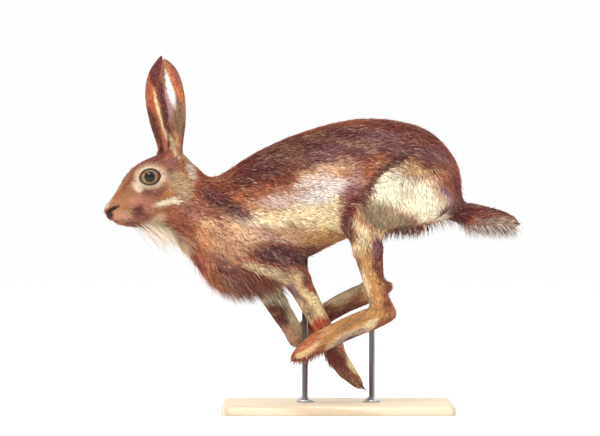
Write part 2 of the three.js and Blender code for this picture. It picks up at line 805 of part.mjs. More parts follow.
// Legs
const FORELEG_GRIDS = {
  left: { arm: [[-82, 40, 8.5]], paw: { x: [[-42, 42, 6]], z: [[22, 62, 5], [62, 118, 8]] } },
  right: { arm: [[-120, 20, 8.5]], paw: { x: [[-80, -24, 8], [-24, 22, 5]], z: [[74, 118, 6]] } },
};
const SOLE_LEVEL = { left: 62, right: 84 };

for (const name of SIDES) {
  const { side } = LEGS[name];
  const f = legFields[name];
  const across = (inner, outer, step) =>
    side === LEFT ? ticks([-outer, -inner, step]) : ticks([inner, outer, step]);
  const elbow = seam(...BLOCKS[name].elbow);
  const wrist = seam(...BLOCKS[name].wrist);
  const knee = seam(...KNEES[name]);
  const hock = seam(...HOCKS[name]);

  const armField = flow(FLOW.joint, armedTrunk, f.forearm);
  const arm = surfaceOf(armField, ticks([-186, -22, 11]), across(2, 78, 11), ticks([138, 270, 11]));
  node(`upper_arm_${name}`, elbow.before(arm.intersect(flankBlock(BLOCKS[name].arm, side))), FUR);

  const grid = FORELEG_GRIDS[name];
  const foreleg = flow(FLOW.joint, flow(FLOW.joint, f.arm, f.forearm), f.forepaw);
  const forearm = surfaceOf(foreleg, ticks(...grid.arm), across(2, 50, 8), ticks([70, 200, 9]));
  node(`forearm_${name}`, wrist.before(elbow.after(forearm)), FUR);
  const paw = surfaceOf(foreleg, ticks(...grid.paw.x), across(2, 38, 3.6), ticks(...grid.paw.z));
  pawWithClaws(`forepaw_${name}`, wrist.after(paw), FUR, LEGS[name], "fore");

  const legField = flow(FLOW.joint, trunk, f.shin);
  const [thighX, thighZ] = [ticks([-10, 52, 10], [52, 168, 14]), ticks([200, 248, 9.5], [248, 342, 14])];
  const thigh = surfaceOf(legField, thighX, across(10, 84, 11), thighZ);
  node(`thigh_${name}`, knee.before(thigh.intersect(flankBlock(THIGH_BLOCK, side))), FUR);

  const sole = SOLE_LEVEL[name];
  const hindleg = flow(FLOW.joint, flow(FLOW.joint, f.thigh, f.shin), f.hindfoot);
  const shin = surfaceOf(hindleg, ticks([2, 90, 8]), across(22, 76, 8), ticks([sole + 40, 236, 9]));
  node(`shin_${name}`, hock.before(knee.after(shin)), FUR);
  const footX = ticks([-74, -22, 5], [-22, 86, 11]);
  const foot = surfaceOf(hindleg, footX, across(34, 74, 4.2), ticks([sole, sole + 114, 6]));
  pawWithClaws(`hind_foot_${name}`, hock.after(foot), PALE_FUR, LEGS[name], "hind");
}

// Assembly
const hare = new THREE.Group();
for (const { name, geometry, material } of nodes) {
  const mesh = new THREE.Mesh(geometry, material);
  mesh.name = name;
  hare.add(mesh);
}

for (const [name, side] of [["left", LEFT], ["right", RIGHT]]) {
  const eye = new THREE.Mesh(eyeBall(), EYE_GLOSS);
  eye.name = `eye_${name}`;
  eye.position.set(...eyeAt(side));
  hare.add(eye);
}

// Stand: a plate with softened edges, and two rods
const stand = new THREE.Group();
{
  const { length, width, thickness, corner, bevel } = STAND;
  const [halfLength, halfWidth] = [length / 2 - bevel, width / 2 - bevel];
  const plan = new THREE.Shape();
  plan.absarc(halfLength - corner, halfWidth - corner, corner, 0, Math.PI / 2);
  plan.absarc(corner - halfLength, halfWidth - corner, corner, Math.PI / 2, Math.PI);
  plan.absarc(corner - halfLength, corner - halfWidth, corner, Math.PI, 1.5 * Math.PI);
  plan.absarc(halfLength - corner, corner - halfWidth, corner, 1.5 * Math.PI, 2 * Math.PI);
  const plate = new THREE.ExtrudeGeometry(plan, {
    depth: thickness - 2 * bevel,
    bevelThickness: bevel,
    bevelSize: bevel,
    bevelSegments: 1,
    curveSegments: 4,
  });
  const base = new THREE.Mesh(plate, BASE_WOOD);
  base.name = "stand_base";
  base.position.z = bevel;
  stand.add(base);
  for (const [name, place] of Object.entries(RODS)) {
    const post = new THREE.Mesh(geometryOf(rod(place)), ROD_STEEL);
    post.name = `stand_rod_${name}`;
    stand.add(post);
  }
}
hare.add(stand);

export default hare;
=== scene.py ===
import math

import bmesh
import bpy
import numpy as np
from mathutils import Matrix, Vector, noise
from mathutils.bvhtree import BVHTree
from mathutils.kdtree import KDTree


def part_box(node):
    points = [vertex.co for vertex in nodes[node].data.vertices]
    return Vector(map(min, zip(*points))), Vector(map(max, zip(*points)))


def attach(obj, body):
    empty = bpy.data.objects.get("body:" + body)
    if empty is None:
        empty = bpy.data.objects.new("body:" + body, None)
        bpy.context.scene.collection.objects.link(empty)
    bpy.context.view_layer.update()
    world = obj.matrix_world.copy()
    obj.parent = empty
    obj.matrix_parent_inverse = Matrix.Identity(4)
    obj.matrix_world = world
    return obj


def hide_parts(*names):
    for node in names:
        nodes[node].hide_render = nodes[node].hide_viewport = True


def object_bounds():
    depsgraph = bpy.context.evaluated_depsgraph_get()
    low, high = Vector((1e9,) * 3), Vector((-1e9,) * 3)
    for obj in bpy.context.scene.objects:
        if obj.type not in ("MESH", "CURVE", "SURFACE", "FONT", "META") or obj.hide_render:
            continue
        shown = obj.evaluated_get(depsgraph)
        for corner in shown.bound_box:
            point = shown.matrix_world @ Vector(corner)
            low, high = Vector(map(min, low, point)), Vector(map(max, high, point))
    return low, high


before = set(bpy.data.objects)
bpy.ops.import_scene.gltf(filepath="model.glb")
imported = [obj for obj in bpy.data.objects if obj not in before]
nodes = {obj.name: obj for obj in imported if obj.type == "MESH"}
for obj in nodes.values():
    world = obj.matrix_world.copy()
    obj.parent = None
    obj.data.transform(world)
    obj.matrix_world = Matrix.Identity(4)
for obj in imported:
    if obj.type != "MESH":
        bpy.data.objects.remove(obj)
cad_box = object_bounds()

MM = 0.001
scene = bpy.context.scene

# Camera
# The hare is seen square on from its left side, from far enough away that near and far legs
# keep one size. The view takes in a width of the picture at the animal's own distance.
VIEW_WIDTH = 780 * MM
VIEW_CENTRE = Vector((-49.4, 0, 251)) * MM
VIEW_DISTANCE = 3500 * MM
camera_data = bpy.data.cameras.new("camera")
camera_data.lens = camera_data.sensor_width * VIEW_DISTANCE / VIEW_WIDTH
camera = bpy.data.objects.new("camera", camera_data)
camera.location = VIEW_CENTRE - Vector((0, VIEW_DISTANCE, 0))
camera.rotation_euler = (math.radians(90), 0, 0)
scene.collection.objects.link(camera)
scene.camera = camera

# Room
# A plain pale floor and one plain pale surround, lit by the surround itself and by three large
# soft panels overhead, the strongest above and in front of the head.
FLOOR_SIZE = 300
PAPER = (0.995, 0.995, 0.995)
SURROUND_STRENGTH = 1.0
PANELS = [  # place, size and power
    ((-0.9, -1.5, 1.9), 1.3, 44),
    ((1.5, -1.2, 1.8), 1.3, 7),
    ((0.4, 1.6, 1.9), 1.6, 16),
]


def material(name, roughness, metallic=0.0):
    made = bpy.data.materials.new(name)
    made.use_nodes = True
    shader = made.node_tree.nodes["Principled BSDF"]
    shader.inputs["Roughness"].default_value = roughness
    shader.inputs["Metallic"].default_value = metallic
    return made, shader


def mesh_object(name, points, faces, finish, smooth=True):
    mesh = bpy.data.meshes.new(name)
    mesh.from_pydata([tuple(p) for p in points], [], [tuple(f) for f in faces])
    mesh.materials.append(finish)
    mesh.polygons.foreach_set("use_smooth", [smooth] * len(mesh.polygons))
    mesh.update()
    made = bpy.data.objects.new(name, mesh)
    scene.collection.objects.link(made)
    return made


floor_finish, floor_shader = material("floor_paint", 0.9)
floor_shader.inputs["Base Color"].default_value = (*PAPER, 1)
half = FLOOR_SIZE / 2
floor_level = cad_box[0][2] - 0.0002
corners = [(-half, -half), (half, -half), (half, half), (-half, half)]
floor = mesh_object("floor", [(x, y, floor_level) for x, y in corners], [(0, 1, 2, 3)], floor_finish)

world = bpy.data.worlds.new("surround")
world.use_nodes = True
world.node_tree.nodes["Background"].inputs["Color"].default_value = (*PAPER, 1)
world.node_tree.nodes["Background"].inputs["Strength"].default_value = SURROUND_STRENGTH
scene.world = world
scene.view_settings.view_transform = "Standard"
for place, size, power in PANELS:
    light_data = bpy.data.lights.new("panel", "AREA")
    light_data.size = size
    light_data.energy = power
    panel = bpy.data.objects.new("panel", light_data)
    panel.location = place
    scene.collection.objects.link(panel)

# Skin
# One whole skin over head, trunk, tail and legs, drawn tight under the coat, with the two ears
# grown into it. Each part of the body says how deep its coat is and which way its hair lies.
SIDES = ("left", "right")
SKIN_CELL = 1.6 * MM
MUZZLE_FROM = -268  # the skin is finer in front of this
# line in the side view, radius and depth of each fold of the muzzle, in mm
CREASES = [
    ([(-306, 254), (-298, 258.5), (-291, 262.5), (-285, 267)], 1.9, 3.4),  # nostril
    ([(-304, 248.5), (-296, 246.5), (-288, 246), (-277, 248.5)], 1.2, 2.2),  # mouth
]
CLEFT = (1.1, 257, 246, 2.2)  # half width, top, bottom and depth
LID_OPENING = (12.6, 9.2, 0.15)  # half length, half height and tilt of an eye's opening
SOCKET_EDGE = (16, 42)  # degrees past the opening where the skin leaves the lids, and where it is free
SOCKET_HEIGHT = 0.2 * MM  # the skin's height over the ball under the lids
OVERLAP = 0.45 * MM  # each part is swollen by this, so that neighbours run into each other
# part: coat depth, hair length and width in mm, tufts per square mm, smoothing, lie (x, z)
PARTS = {
    "head": (1.7, 6.5, 0.75, 0.95, 12, (1.0, 0.12)),
    "neck": (4.5, 15, 1.4, 0.46, 60, (0.8, -0.45)),
    "chest": (5.0, 17, 1.5, 0.42, 110, (1.0, -0.38)),
    "belly": (5.0, 17, 1.5, 0.42, 110, (1.0, -0.12)),
    "rump": (5.0, 17, 1.5, 0.42, 110, (0.9, -0.4)),
    "tail": (4.0, 17, 1.7, 0.45, 25, (1.0, -0.12)),
    "upper_arm": (4.0, 13, 1.6, 0.38, 70, (0.7, -0.6)),
    "forearm": (2.2, 8.5, 1.2, 0.60, 22, (0.5, -0.86)),
    "forepaw_left": (1.5, 5.5, 0.8, 0.90, 6, (0.62, -0.78)),
    "forepaw_right": (1.5, 5.5, 0.8, 0.90, 6, (1.0, 0.1)),
    "thigh": (4.5, 15, 1.4, 0.46, 90, (0.1, -1.0)),
    "shin": (2.4, 9.5, 1.3, 0.52, 22, (0.25, -1.0)),
    "hind_foot": (1.8, 6.5, 0.85, 0.85, 8, (-0.88, -0.46)),
    "ear": (0.3, 6.0, 0.9, 0.72, 0, (0.0, 1.0)),
}
FLESH = [n for n in nodes if n.rsplit("_", 1)[0] in PARTS or n in PARTS]
EARS = [f"ear_{side}" for side in SIDES]
EYES = {side: sum(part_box(f"eye_{side}"), Vector()) / 2 for side in SIDES}
EYE_RADIUS = (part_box("eye_left")[1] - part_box("eye_left")[0]).z / 2
WAY = {"left": -1, "right": 1}


def part_row(node):
    return PARTS[node] if node in PARTS else PARTS[node.rsplit("_", 1)[0]]


def points_of(mesh):
    co = np.empty(len(mesh.vertices) * 3)
    mesh.vertices.foreach_get("co", co)
    return co.reshape(-1, 3)


def edges_of(mesh):
    ends = np.empty(len(mesh.edges) * 2, np.int32)
    mesh.edges.foreach_get("vertices", ends)
    ends = ends.reshape(-1, 2)
    return np.vstack((ends, ends[:, ::-1]))


def triangles_of(mesh):
    mesh.calc_loop_triangles()
    corners = np.empty(len(mesh.loop_triangles) * 3, np.int32)
    mesh.loop_triangles.foreach_get("vertices", corners)
    return corners.reshape(-1, 3)


def unit(vectors):
    return vectors / np.maximum(np.linalg.norm(vectors, axis=-1, keepdims=True), 1e-12)


def normals_of(points, triangles):
    a, b, c = (points[triangles[:, k]] for k in range(3))
    flat = np.cross(b - a, c - a)
    return unit(sum(
        np.stack([np.bincount(triangles[:, k], flat[:, d], len(points)) for d in range(3)], 1)
        for k in range(3)
    ))


def neighbour_mean(values, edges):
    """Mean of each vertex's neighbours, for one or more values at a vertex."""
    table = values.reshape(len(values), -1)
    count = np.maximum(np.bincount(edges[:, 0], minlength=len(table)), 1)
    sums = [np.bincount(edges[:, 0], column[edges[:, 1]], len(table)) for column in table.T]
    return (np.stack(sums, 1) / count[:, None]).reshape(values.shape)


def spread(values, edges, rounds):
    for _ in range(rounds):
        values = (values + neighbour_mean(values, edges)) / 2
    return values


def evaluated(obj):
    """The mesh of an object once its modifiers are applied; the object itself is removed."""
    graph = bpy.context.evaluated_depsgraph_get()
    mesh = bpy.data.meshes.new_from_object(obj.evaluated_get(graph))
    bpy.data.objects.remove(obj)
    return mesh


def seat_of(ear):
    """The middle of an ear's lowest ring, and the way to its tip."""
    co = points_of(nodes[ear].data)
    ring = co[co[:, 2] < co[:, 2].min() + 4 * MM]
    seat = ring.mean(0)
    return seat, unit(co[co[:, 2].argmax()] - seat)


def body_mesh():
    """Voxel skin over every part but the ears, with the sockets filled and the ears' roots set in."""
    whole = bmesh.new()
    for name in [n for n in FLESH if n not in EARS] + ["eye_left", "eye_right"]:
        part = bmesh.new()
        part.from_mesh(nodes[name].data)
        bmesh.ops.remove_doubles(part, verts=part.verts, dist=1e-6)
        part.normal_update()
        for vertex in part.verts:
            vertex.co += vertex.normal * OVERLAP
        piece = bpy.data.meshes.new("part")
        part.to_mesh(piece)
        part.free()
        whole.from_mesh(piece)
        bpy.data.meshes.remove(piece)
    for ear in EARS:
        seat, _ = seat_of(ear)
        mound = bmesh.ops.create_icosphere(whole, subdivisions=3, radius=1)["verts"]
        bmesh.ops.scale(whole, vec=Vector((12.5, 11.5, 13)) * MM, verts=mound)
        bmesh.ops.translate(whole, vec=Vector(seat) + Vector((0, 0, -1)) * MM, verts=mound)
    mesh = bpy.data.meshes.new("union")
    whole.to_mesh(mesh)
    whole.free()
    union = bpy.data.objects.new("union", mesh)
    scene.collection.objects.link(union)
    remesh = union.modifiers.new("remesh", "REMESH")
    remesh.mode = "VOXEL"
    remesh.voxel_size = SKIN_CELL
    return evaluated(union)


def ear_mesh(ear):
    """An ear's leaf made smooth, its root drawn down into the skull."""
    mesh = nodes[ear].data.copy()
    seat, up = seat_of(ear)
    shell = bmesh.new()
    shell.from_mesh(mesh)
    bmesh.ops.remove_doubles(shell, verts=shell.verts, dist=1e-6)
    low = [v for v in shell.verts if v.co.z < seat[2] + 4 * MM]
    for vertex in low:
        vertex.co -= Vector(up) * 9 * MM
    bmesh.ops.join_triangles(
        shell, faces=shell.faces, angle_face_threshold=0.9, angle_shape_threshold=0.9
    )
    shell.to_mesh(mesh)
    shell.free()
    leaf = bpy.data.objects.new(ear, mesh)
    scene.collection.objects.link(leaf)
    leaf.modifiers.new("round", "SUBSURF").levels = 2
    return evaluated(leaf)


body = body_mesh()
body_edges = edges_of(body)
co = points_of(body)

finder = KDTree(sum(len(nodes[n].data.vertices) for n in FLESH if n not in EARS))
owners = []
for name in FLESH:
    if name in EARS:
        continue
    for point in points_of(nodes[name].data):
        finder.insert(point, len(owners))
        owners.append(name)
finder.balance()
owner = [owners[finder.find(point)[1]] for point in co]
table = np.array([[*part_row(name)[:5], *part_row(name)[5]] for name in owner])
table = spread(table, body_edges, 40)
depth, hair_length, hair_width, crowding, rounds = table[:, :5].T

for k in range(int(rounds.max())):
    moved = rounds > k
    co[moved] += 0.5 * (neighbour_mean(co, body_edges) - co)[moved]
normals = normals_of(co, triangles_of(body))
co -= normals * depth[:, None] * MM
for _ in range(3):
    co += 0.5 * (neighbour_mean(co, body_edges) - co)
body.vertices.foreach_set("co", co.ravel())

whole = bmesh.new()
whole.from_mesh(body)
ways = whole.verts.layers.int.new("row")
for i, vertex in enumerate(whole.verts):
    vertex[ways] = i
for _ in range(2):
    fine = [e for e in whole.edges if max(v.co.x for v in e.verts) < MUZZLE_FROM * MM]
    bmesh.ops.subdivide_edges(whole, edges=fine, cuts=1, use_grid_fill=True)
whole.verts.ensure_lookup_table()
kept = [v[ways] for v in whole.verts]
table = table[kept]
owner = [owner[i] for i in kept]
for ear in EARS:
    leaf = ear_mesh(ear)
    whole.from_mesh(leaf)
    seat, up = seat_of(ear)
    row = PARTS["ear"]
    rows = np.tile([*row[:5], 0, 1], (len(leaf.vertices), 1))
    table = np.vstack((table, rows))
    owner += [ear] * len(rows)
skin_mesh = bpy.data.meshes.new("skin")
whole.to_mesh(skin_mesh)
whole.free()

# Nostrils, lips and the cleft between them, pressed into the muzzle
co = points_of(skin_mesh)
skin_edges = edges_of(skin_mesh)
muzzle = co[:, 0] < (MUZZLE_FROM + 1) * MM
co[muzzle] = spread(co, skin_edges, 2)[muzzle]
normals = normals_of(co, triangles_of(skin_mesh))
crease = np.zeros(len(co))
for line, radius, press in CREASES:
    gap = np.full(len(co), np.inf)
    for (ax, az), (bx, bz) in zip(line, line[1:]):
        dx, dz = bx - ax, bz - az
        px, pz = co[:, 0] / MM - ax, co[:, 2] / MM - az
        t = np.clip((px * dx + pz * dz) / (dx * dx + dz * dz), 0, 1)
        gap = np.minimum(gap, np.hypot(px - dx * t, pz - dz * t))
    inside = np.exp(-((gap / radius) ** 2)) * muzzle * (np.abs(normals[:, 1]) > 0.12)
    lip = np.exp(-(((gap - 2 * radius) / radius) ** 2)) * muzzle
    co -= normals * ((press * inside - 0.35 * lip) * MM)[:, None]
    crease = np.maximum(crease, inside)
width, top, bottom, press = CLEFT
low_front = muzzle & (co[:, 2] < top * MM) & (co[:, 2] > bottom * MM) & (normals[:, 0] < -0.25)
inside = np.exp(-((co[:, 1] / (width * MM)) ** 2)) * low_front
co -= normals * (press * inside * MM)[:, None]
crease = np.maximum(crease, inside * 0.8)

# Sockets: the skin is drawn onto each ball under its lids
past_lids = np.full(len(co), 180.0)  # degrees beyond the lids' edge
for side in SIDES:
    out = co - np.array(EYES[side])
    gap = np.linalg.norm(out, axis=1)
    off = np.degrees(np.arccos(np.clip(out[:, 1] * WAY[side] / gap, -1, 1)))
    turn = np.arctan2(out[:, 2], out[:, 0]) - LID_OPENING[2]
    edge = 1 / np.hypot(np.cos(turn) / LID_OPENING[0], np.sin(turn) / LID_OPENING[1]) * MM
    beyond = off - np.degrees(np.arcsin(np.minimum(0.95, edge / EYE_RADIUS)))
    beyond[(gap > 2 * EYE_RADIUS) | (out[:, 1] * WAY[side] < 0)] = 180
    held = np.clip((SOCKET_EDGE[1] - beyond) / (SOCKET_EDGE[1] - SOCKET_EDGE[0]), 0, 1)
    held = held * held * (3 - 2 * held)
    height = EYE_RADIUS + np.where(beyond < 0, -0.8 * MM, SOCKET_HEIGHT)
    co += out / gap[:, None] * ((height - gap) * held)[:, None]
    past_lids = np.minimum(past_lids, beyond)
skin_mesh.vertices.foreach_set("co", co.ravel())
skin_mesh.polygons.foreach_set("use_smooth", [True] * len(skin_mesh.polygons))

# The cups of the ears, and the way their hair and all other hair lies
CUP_FACES = {"ear_left": (-0.42, -0.91, 0), "ear_right": (-0.8, -0.6, 0)}  # the way each cup opens
EYE_PARTING = 11 * MM  # hair parts round the eyes within this
normals = normals_of(co, triangles_of(skin_mesh))
leaf = np.array([float(name in EARS) for name in owner])
cup = np.zeros(len(co))
lie = np.stack((table[:, 5], np.zeros(len(co)), table[:, 6]), 1)
for ear in EARS:
    mine = np.array([name == ear for name in owner])
    cup[mine] = np.clip((normals[mine] @ unit(np.array(CUP_FACES[ear]))) * 2.5, 0, 1)
    lie[mine] = seat_of(ear)[1]
cup = spread(cup, skin_edges, 1)
for eye in EYES.values():
    out = (co - np.array(eye)) * (1, 0.3, 1)
    gap = np.linalg.norm(co - np.array(eye), axis=1)
    lie += unit(out) * (1.6 * np.exp(-((gap - EYE_RADIUS) / EYE_PARTING) ** 2) * (1 - leaf))[:, None]
lie -= normals * (lie * normals).sum(1)[:, None]
lie = unit(spread(unit(lie), skin_edges, 6))
skin = bpy.data.objects.new("skin", skin_mesh)
scene.collection.objects.link(skin)
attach(skin, "root")
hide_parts(*FLESH)

# Fur colours
# The colours of the coat are the same in the skin and in every lock that grows on it. They are
# soft patches laid over one another in the side view, broken by streaks along the lie of the
# hair, with darker roots and hairs that differ from one another.


def paint(red, green, blue):
    """A colour given as it shows, 0 to 255, as the shader's own values."""
    return tuple((v / 255 / 12.92 if v < 10 else ((v / 255 + 0.055) / 1.055) ** 2.4) for v in (red, green, blue))


RUST = paint(166, 90, 58)
MAROON = paint(112, 46, 38)
DARK = paint(62, 34, 32)
PLUM = paint(118, 78, 88)
TAN = paint(200, 152, 112)
CREAM = paint(246, 226, 182)
PALE = paint(252, 244, 214)
OCHRE = paint(206, 152, 88)
ORANGE = paint(188, 102, 54)
OLIVE = paint(156, 140, 106)
ASH = paint(204, 198, 192)
BOTH, NEAR, FAR_SIDE, FLANKS = 0, -1, 1, 2  # flanks are both sides, but not the middle of the face
# colour, strength, place (x, z), reach (along, across), turn in degrees, side
PATCHES = [
    # trunk
    (TAN, 0.85, (-49, 252), (104, 48), 10, BOTH),
    (ORANGE, 0.6, (0, 377), (150, 14), 10, BOTH),
    (MAROON, 0.9, (-72, 328), (108, 27), 21, BOTH),
    (MAROON, 0.9, (74, 350), (92, 30), -4, BOTH),
    (paint(140, 58, 42), 0.92, (150, 313), (66, 20), -67, BOTH),
    (paint(178, 80, 48), 0.8, (140, 342), (34, 6), -48, BOTH),
    (paint(176, 66, 40), 0.8, (150, 320), (48, 5), -66, BOTH),
    (paint(226, 164, 110), 0.5, (4, 385), (96, 5), 8, BOTH),
    (paint(88, 36, 38), 0.75, (-70, 330), (70, 15), 24, BOTH),
    (paint(92, 40, 44), 0.7, (-112, 310), (44, 10), 26, BOTH),
    (PLUM, 0.6, (-5, 333), (62, 15), 12, BOTH),
    (paint(128, 82, 96), 0.75, (36, 357), (44, 7), -2, BOTH),
    (paint(96, 38, 40), 0.7, (-10, 352), (46, 8), 12, BOTH),
    (paint(136, 108, 82), 0.55, (-128, 322), (40, 6), 28, BOTH),
    (paint(220, 176, 142), 0.75, (-20, 314), (46, 11), 14, BOTH),
    (PLUM, 0.5, (88, 336), (60, 14), -10, BOTH),
    (CREAM, 0.95, (-32, 268), (58, 25), 18, BOTH),
    (paint(244, 232, 224), 0.9, (-24, 288), (42, 13), 16, BOTH),
    (paint(236, 216, 204), 0.8, (-44, 300), (34, 9), 18, BOTH),
    (paint(212, 190, 184), 0.7, (-78, 276), (36, 9), 10, BOTH),
    (paint(244, 222, 196), 0.85, (-112, 250), (46, 9), 2, BOTH),
    (paint(250, 232, 176), 0.9, (-8, 246), (40, 13), 6, BOTH),
    (CREAM, 0.7, (-99, 254), (48, 10), 8, BOTH),
    (OCHRE, 0.8, (-18, 229), (46, 15), 5, BOTH),
    (MAROON, 0.92, (-76, 210), (54, 15), -6, BOTH),
    (paint(78, 30, 44), 0.9, (-74, 204), (44, 11), -14, BOTH),
    # shoulder, breast and upper arm
    (paint(202, 154, 120), 0.75, (-151, 229), (40, 28), -30, BOTH),
    (paint(128, 82, 60), 0.8, (-138, 177), (56, 22), -32, BOTH),
    (ORANGE, 0.5, (-175, 196), (32, 12), -55, BOTH),
    (DARK, 0.75, (-154, 268), (34, 15), -18, BOTH),
    (PLUM, 0.7, (-132, 258), (16, 10), -30, BOTH),
    (paint(220, 180, 160), 0.6, (-104, 232), (44, 8), -6, BOTH),
    (paint(140, 92, 88), 0.5, (-150, 196), (30, 12), -50, BOTH),
    (paint(222, 202, 158), 0.85, (-90, 187), (44, 8), -16, BOTH),
    (paint(120, 62, 48), 0.75, (-108, 166), (48, 11), -28, BOTH),
    (paint(104, 38, 36), 0.9, (-57, 180), (20, 8), -28, BOTH),
    # haunch and thigh
    (PALE, 1.0, (92, 288), (54, 27), -12, BOTH),
    (PALE, 0.95, (62, 294), (34, 20), 0, BOTH),
    (PALE, 0.95, (52, 284), (32, 18), -10, BOTH),
    (PALE, 0.95, (114, 268), (28, 18), -45, BOTH),
    (paint(222, 190, 138), 0.7, (84, 318), (46, 5), -4, BOTH),
    # olive brown under the pale haunch: painted shade
    (paint(148, 126, 96), 0.95, (60, 260), (52, 16), -27, BOTH),
    (paint(222, 192, 142), 0.8, (44, 240), (30, 10), -10, BOTH),
    (MAROON, 0.7, (96, 326), (48, 6), -8, BOTH),
    (paint(196, 156, 136), 0.7, (126, 288), (34, 6), -64, BOTH),
    (paint(136, 84, 124), 0.8, (141, 282), (28, 5), -62, BOTH),
    (paint(110, 38, 44), 0.85, (149, 290), (44, 6), -70, BOTH),
    (paint(228, 190, 140), 0.5, (162, 288), (26, 3.5), -76, BOTH),
    (paint(96, 34, 46), 0.85, (142, 257), (20, 12), -30, BOTH),
    # lilac on the front of the thigh: a painted highlight
    (paint(160, 122, 146), 0.8, (8, 296), (28, 8), 72, BOTH),
    (DARK, 0.95, (60, 321), (30, 6), 28, BOTH),
    (paint(158, 98, 96), 0.9, (10, 276), (42, 11), 82, BOTH),
    (paint(172, 114, 98), 0.85, (1, 262), (36, 9), 97, BOTH),
    (paint(98, 34, 32), 0.97, (31, 292), (38, 8), 58, BOTH),
    (paint(104, 36, 34), 0.97, (12, 246), (38, 10), 98, BOTH),
    (CREAM, 0.85, (30, 232), (26, 9), 95, BOTH),
    (paint(108, 66, 92), 0.85, (44, 222), (18, 6), 70, BOTH),
    (paint(140, 62, 44), 0.6, (96, 222), (40, 5), 10, BOTH),
    # tail
    (paint(120, 56, 44), 0.95, (186, 258), (64, 12), -8, BOTH),
    (paint(74, 40, 38), 0.8, (190, 266), (50, 4), -14, BOTH),
    (paint(154, 134, 118), 0.9, (204, 243), (44, 8), -5, BOTH),
    (paint(216, 208, 202), 0.9, (180, 229), (56, 8), -4, BOTH),
    (paint(92, 36, 40), 0.85, (146, 262), (20, 14), -10, BOTH),
    # neck
    (paint(170, 110, 92), 0.75, (-196, 265), (22, 16), -20, BOTH),
    (paint(150, 80, 64), 0.7, (-208, 240), (18, 12), -40, BOTH),
    (paint(150, 66, 48), 0.85, (-176, 297), (26, 8), -54, BOTH),
    (paint(96, 44, 56), 0.8, (-170, 280), (24, 8), -35, BOTH),
    (paint(120, 44, 52), 0.75, (-163, 252), (20, 4), -60, BOTH),
    # a painted highlight on the shoulder
    (paint(226, 182, 132), 0.85, (-175, 246), (15, 10), -20, BOTH),
    (paint(206, 138, 92), 0.75, (-176, 229), (22, 9), -50, BOTH),
    (paint(140, 44, 38), 0.8, (-191, 214), (20, 5), -50, BOTH),
    (paint(176, 88, 88), 0.7, (-180, 203), (14, 5), -60, BOTH),
    # head
    (paint(178, 122, 84), 0.9, (-254, 286), (58, 46), 20, BOTH),
    (paint(168, 140, 106), 0.7, (-206, 285), (9, 16), 10, BOTH),
    (paint(132, 54, 42), 0.9, (-246, 322), (34, 6), 27, BOTH),
    (paint(146, 66, 48), 0.85, (-271, 301), (22, 6), 56, BOTH),
    (paint(190, 134, 94), 0.4, (-278, 296), (26, 3), 56, BOTH),
    (paint(198, 144, 98), 0.8, (-294, 277), (12, 7), 55, BOTH),
    (paint(172, 84, 38), 0.8, (-289, 280), (8, 5), 50, BOTH),
    (paint(196, 128, 112), 0.75, (-262, 274), (14, 10), 60, BOTH),
    (paint(186, 118, 100), 0.7, (-247, 270), (14, 9), 0, BOTH),
    (paint(134, 74, 62), 0.85, (-238, 285), (19, 7), 8, BOTH),
    (paint(196, 128, 66), 0.85, (-222, 284), (10, 5), 20, BOTH),
    (paint(246, 232, 198), 0.95, (-224, 271), (19, 5), 15, BOTH),
    (paint(222, 206, 186), 0.8, (-198, 313), (5, 13), 10, BOTH),
    (paint(92, 34, 38), 0.9, (-229, 340), (11, 8), 60, BOTH),
    (paint(234, 208, 164), 0.9, (-215, 338), (16, 4), -62, BOTH),
    (paint(188, 150, 112), 0.8, (-203, 336), (16, 6), -70, BOTH),
    (paint(150, 96, 96), 0.7, (-219, 322), (10, 7), 20, BOTH),
    (paint(86, 32, 38), 0.9, (-218, 306), (5, 10), 15, BOTH),
    (paint(238, 216, 190), 0.95, (-260, 292), (11, 7), -20, BOTH),
    (paint(208, 152, 120), 0.85, (-281, 253), (13, 9), 0, BOTH),
    (paint(140, 72, 66), 0.8, (-257, 252), (13, 7), 10, BOTH),
    (paint(106, 42, 42), 0.9, (-261, 260), (11, 6.5), 48, BOTH),
    (paint(110, 42, 34), 0.85, (-268, 243), (13, 4), -5, BOTH),
    (paint(226, 196, 158), 0.85, (-240, 246), (16, 8), 30, BOTH),
    (paint(196, 166, 128), 0.7, (-210, 296), (14, 19), 10, BOTH),
    # a pale spot on the tip of the nose: a painted highlight
    (paint(240, 224, 208), 0.9, (-301, 265), (6, 3), 35, FLANKS),
    # near black under the nose and along the nostril slit: painted shade in and under the nostril
    (paint(56, 26, 30), 0.97, (-298, 253), (8, 5), 15, FLANKS),
    (paint(46, 20, 24), 0.98, (-294, 261), (11, 2.8), 34, BOTH),
    (CREAM, 0.95, (-226, 233), (36, 11), -16, BOTH),
]
# the same for the hind legs alone, the forelegs alone and the cups of the ears
HIND_PATCHES = [
    (OCHRE, 0.85, (40, 165), (62, 15), 95, BOTH),
    (MAROON, 0.85, (53, 194), (36, 8), 98, BOTH),
    (RUST, 0.75, (24, 170), (40, 6), 105, BOTH),
    (CREAM, 0.9, (35, 172), (34, 3.2), 103, BOTH),
    (OCHRE, 0.8, (12, 113), (74, 15), 22, NEAR),
    (paint(196, 96, 46), 0.95, (-44, 92), (30, 14), 25, NEAR),
    (CREAM, 0.9, (9, 98), (28, 6), 22, NEAR),
    (CREAM, 0.85, (46, 117), (15, 6), 35, NEAR),
    (paint(176, 146, 134), 0.85, (18, 102), (32, 5), 22, NEAR),
    (paint(74, 42, 42), 0.9, (24, 99), (34, 4), 22, NEAR),
    (paint(244, 214, 160), 0.85, (-36, 84), (22, 3.5), 32, NEAR),
    (CREAM, 0.9, (3, 151), (50, 12), 22, FAR_SIDE),
    (MAROON, 0.9, (6, 130), (50, 9), 22, FAR_SIDE),
]
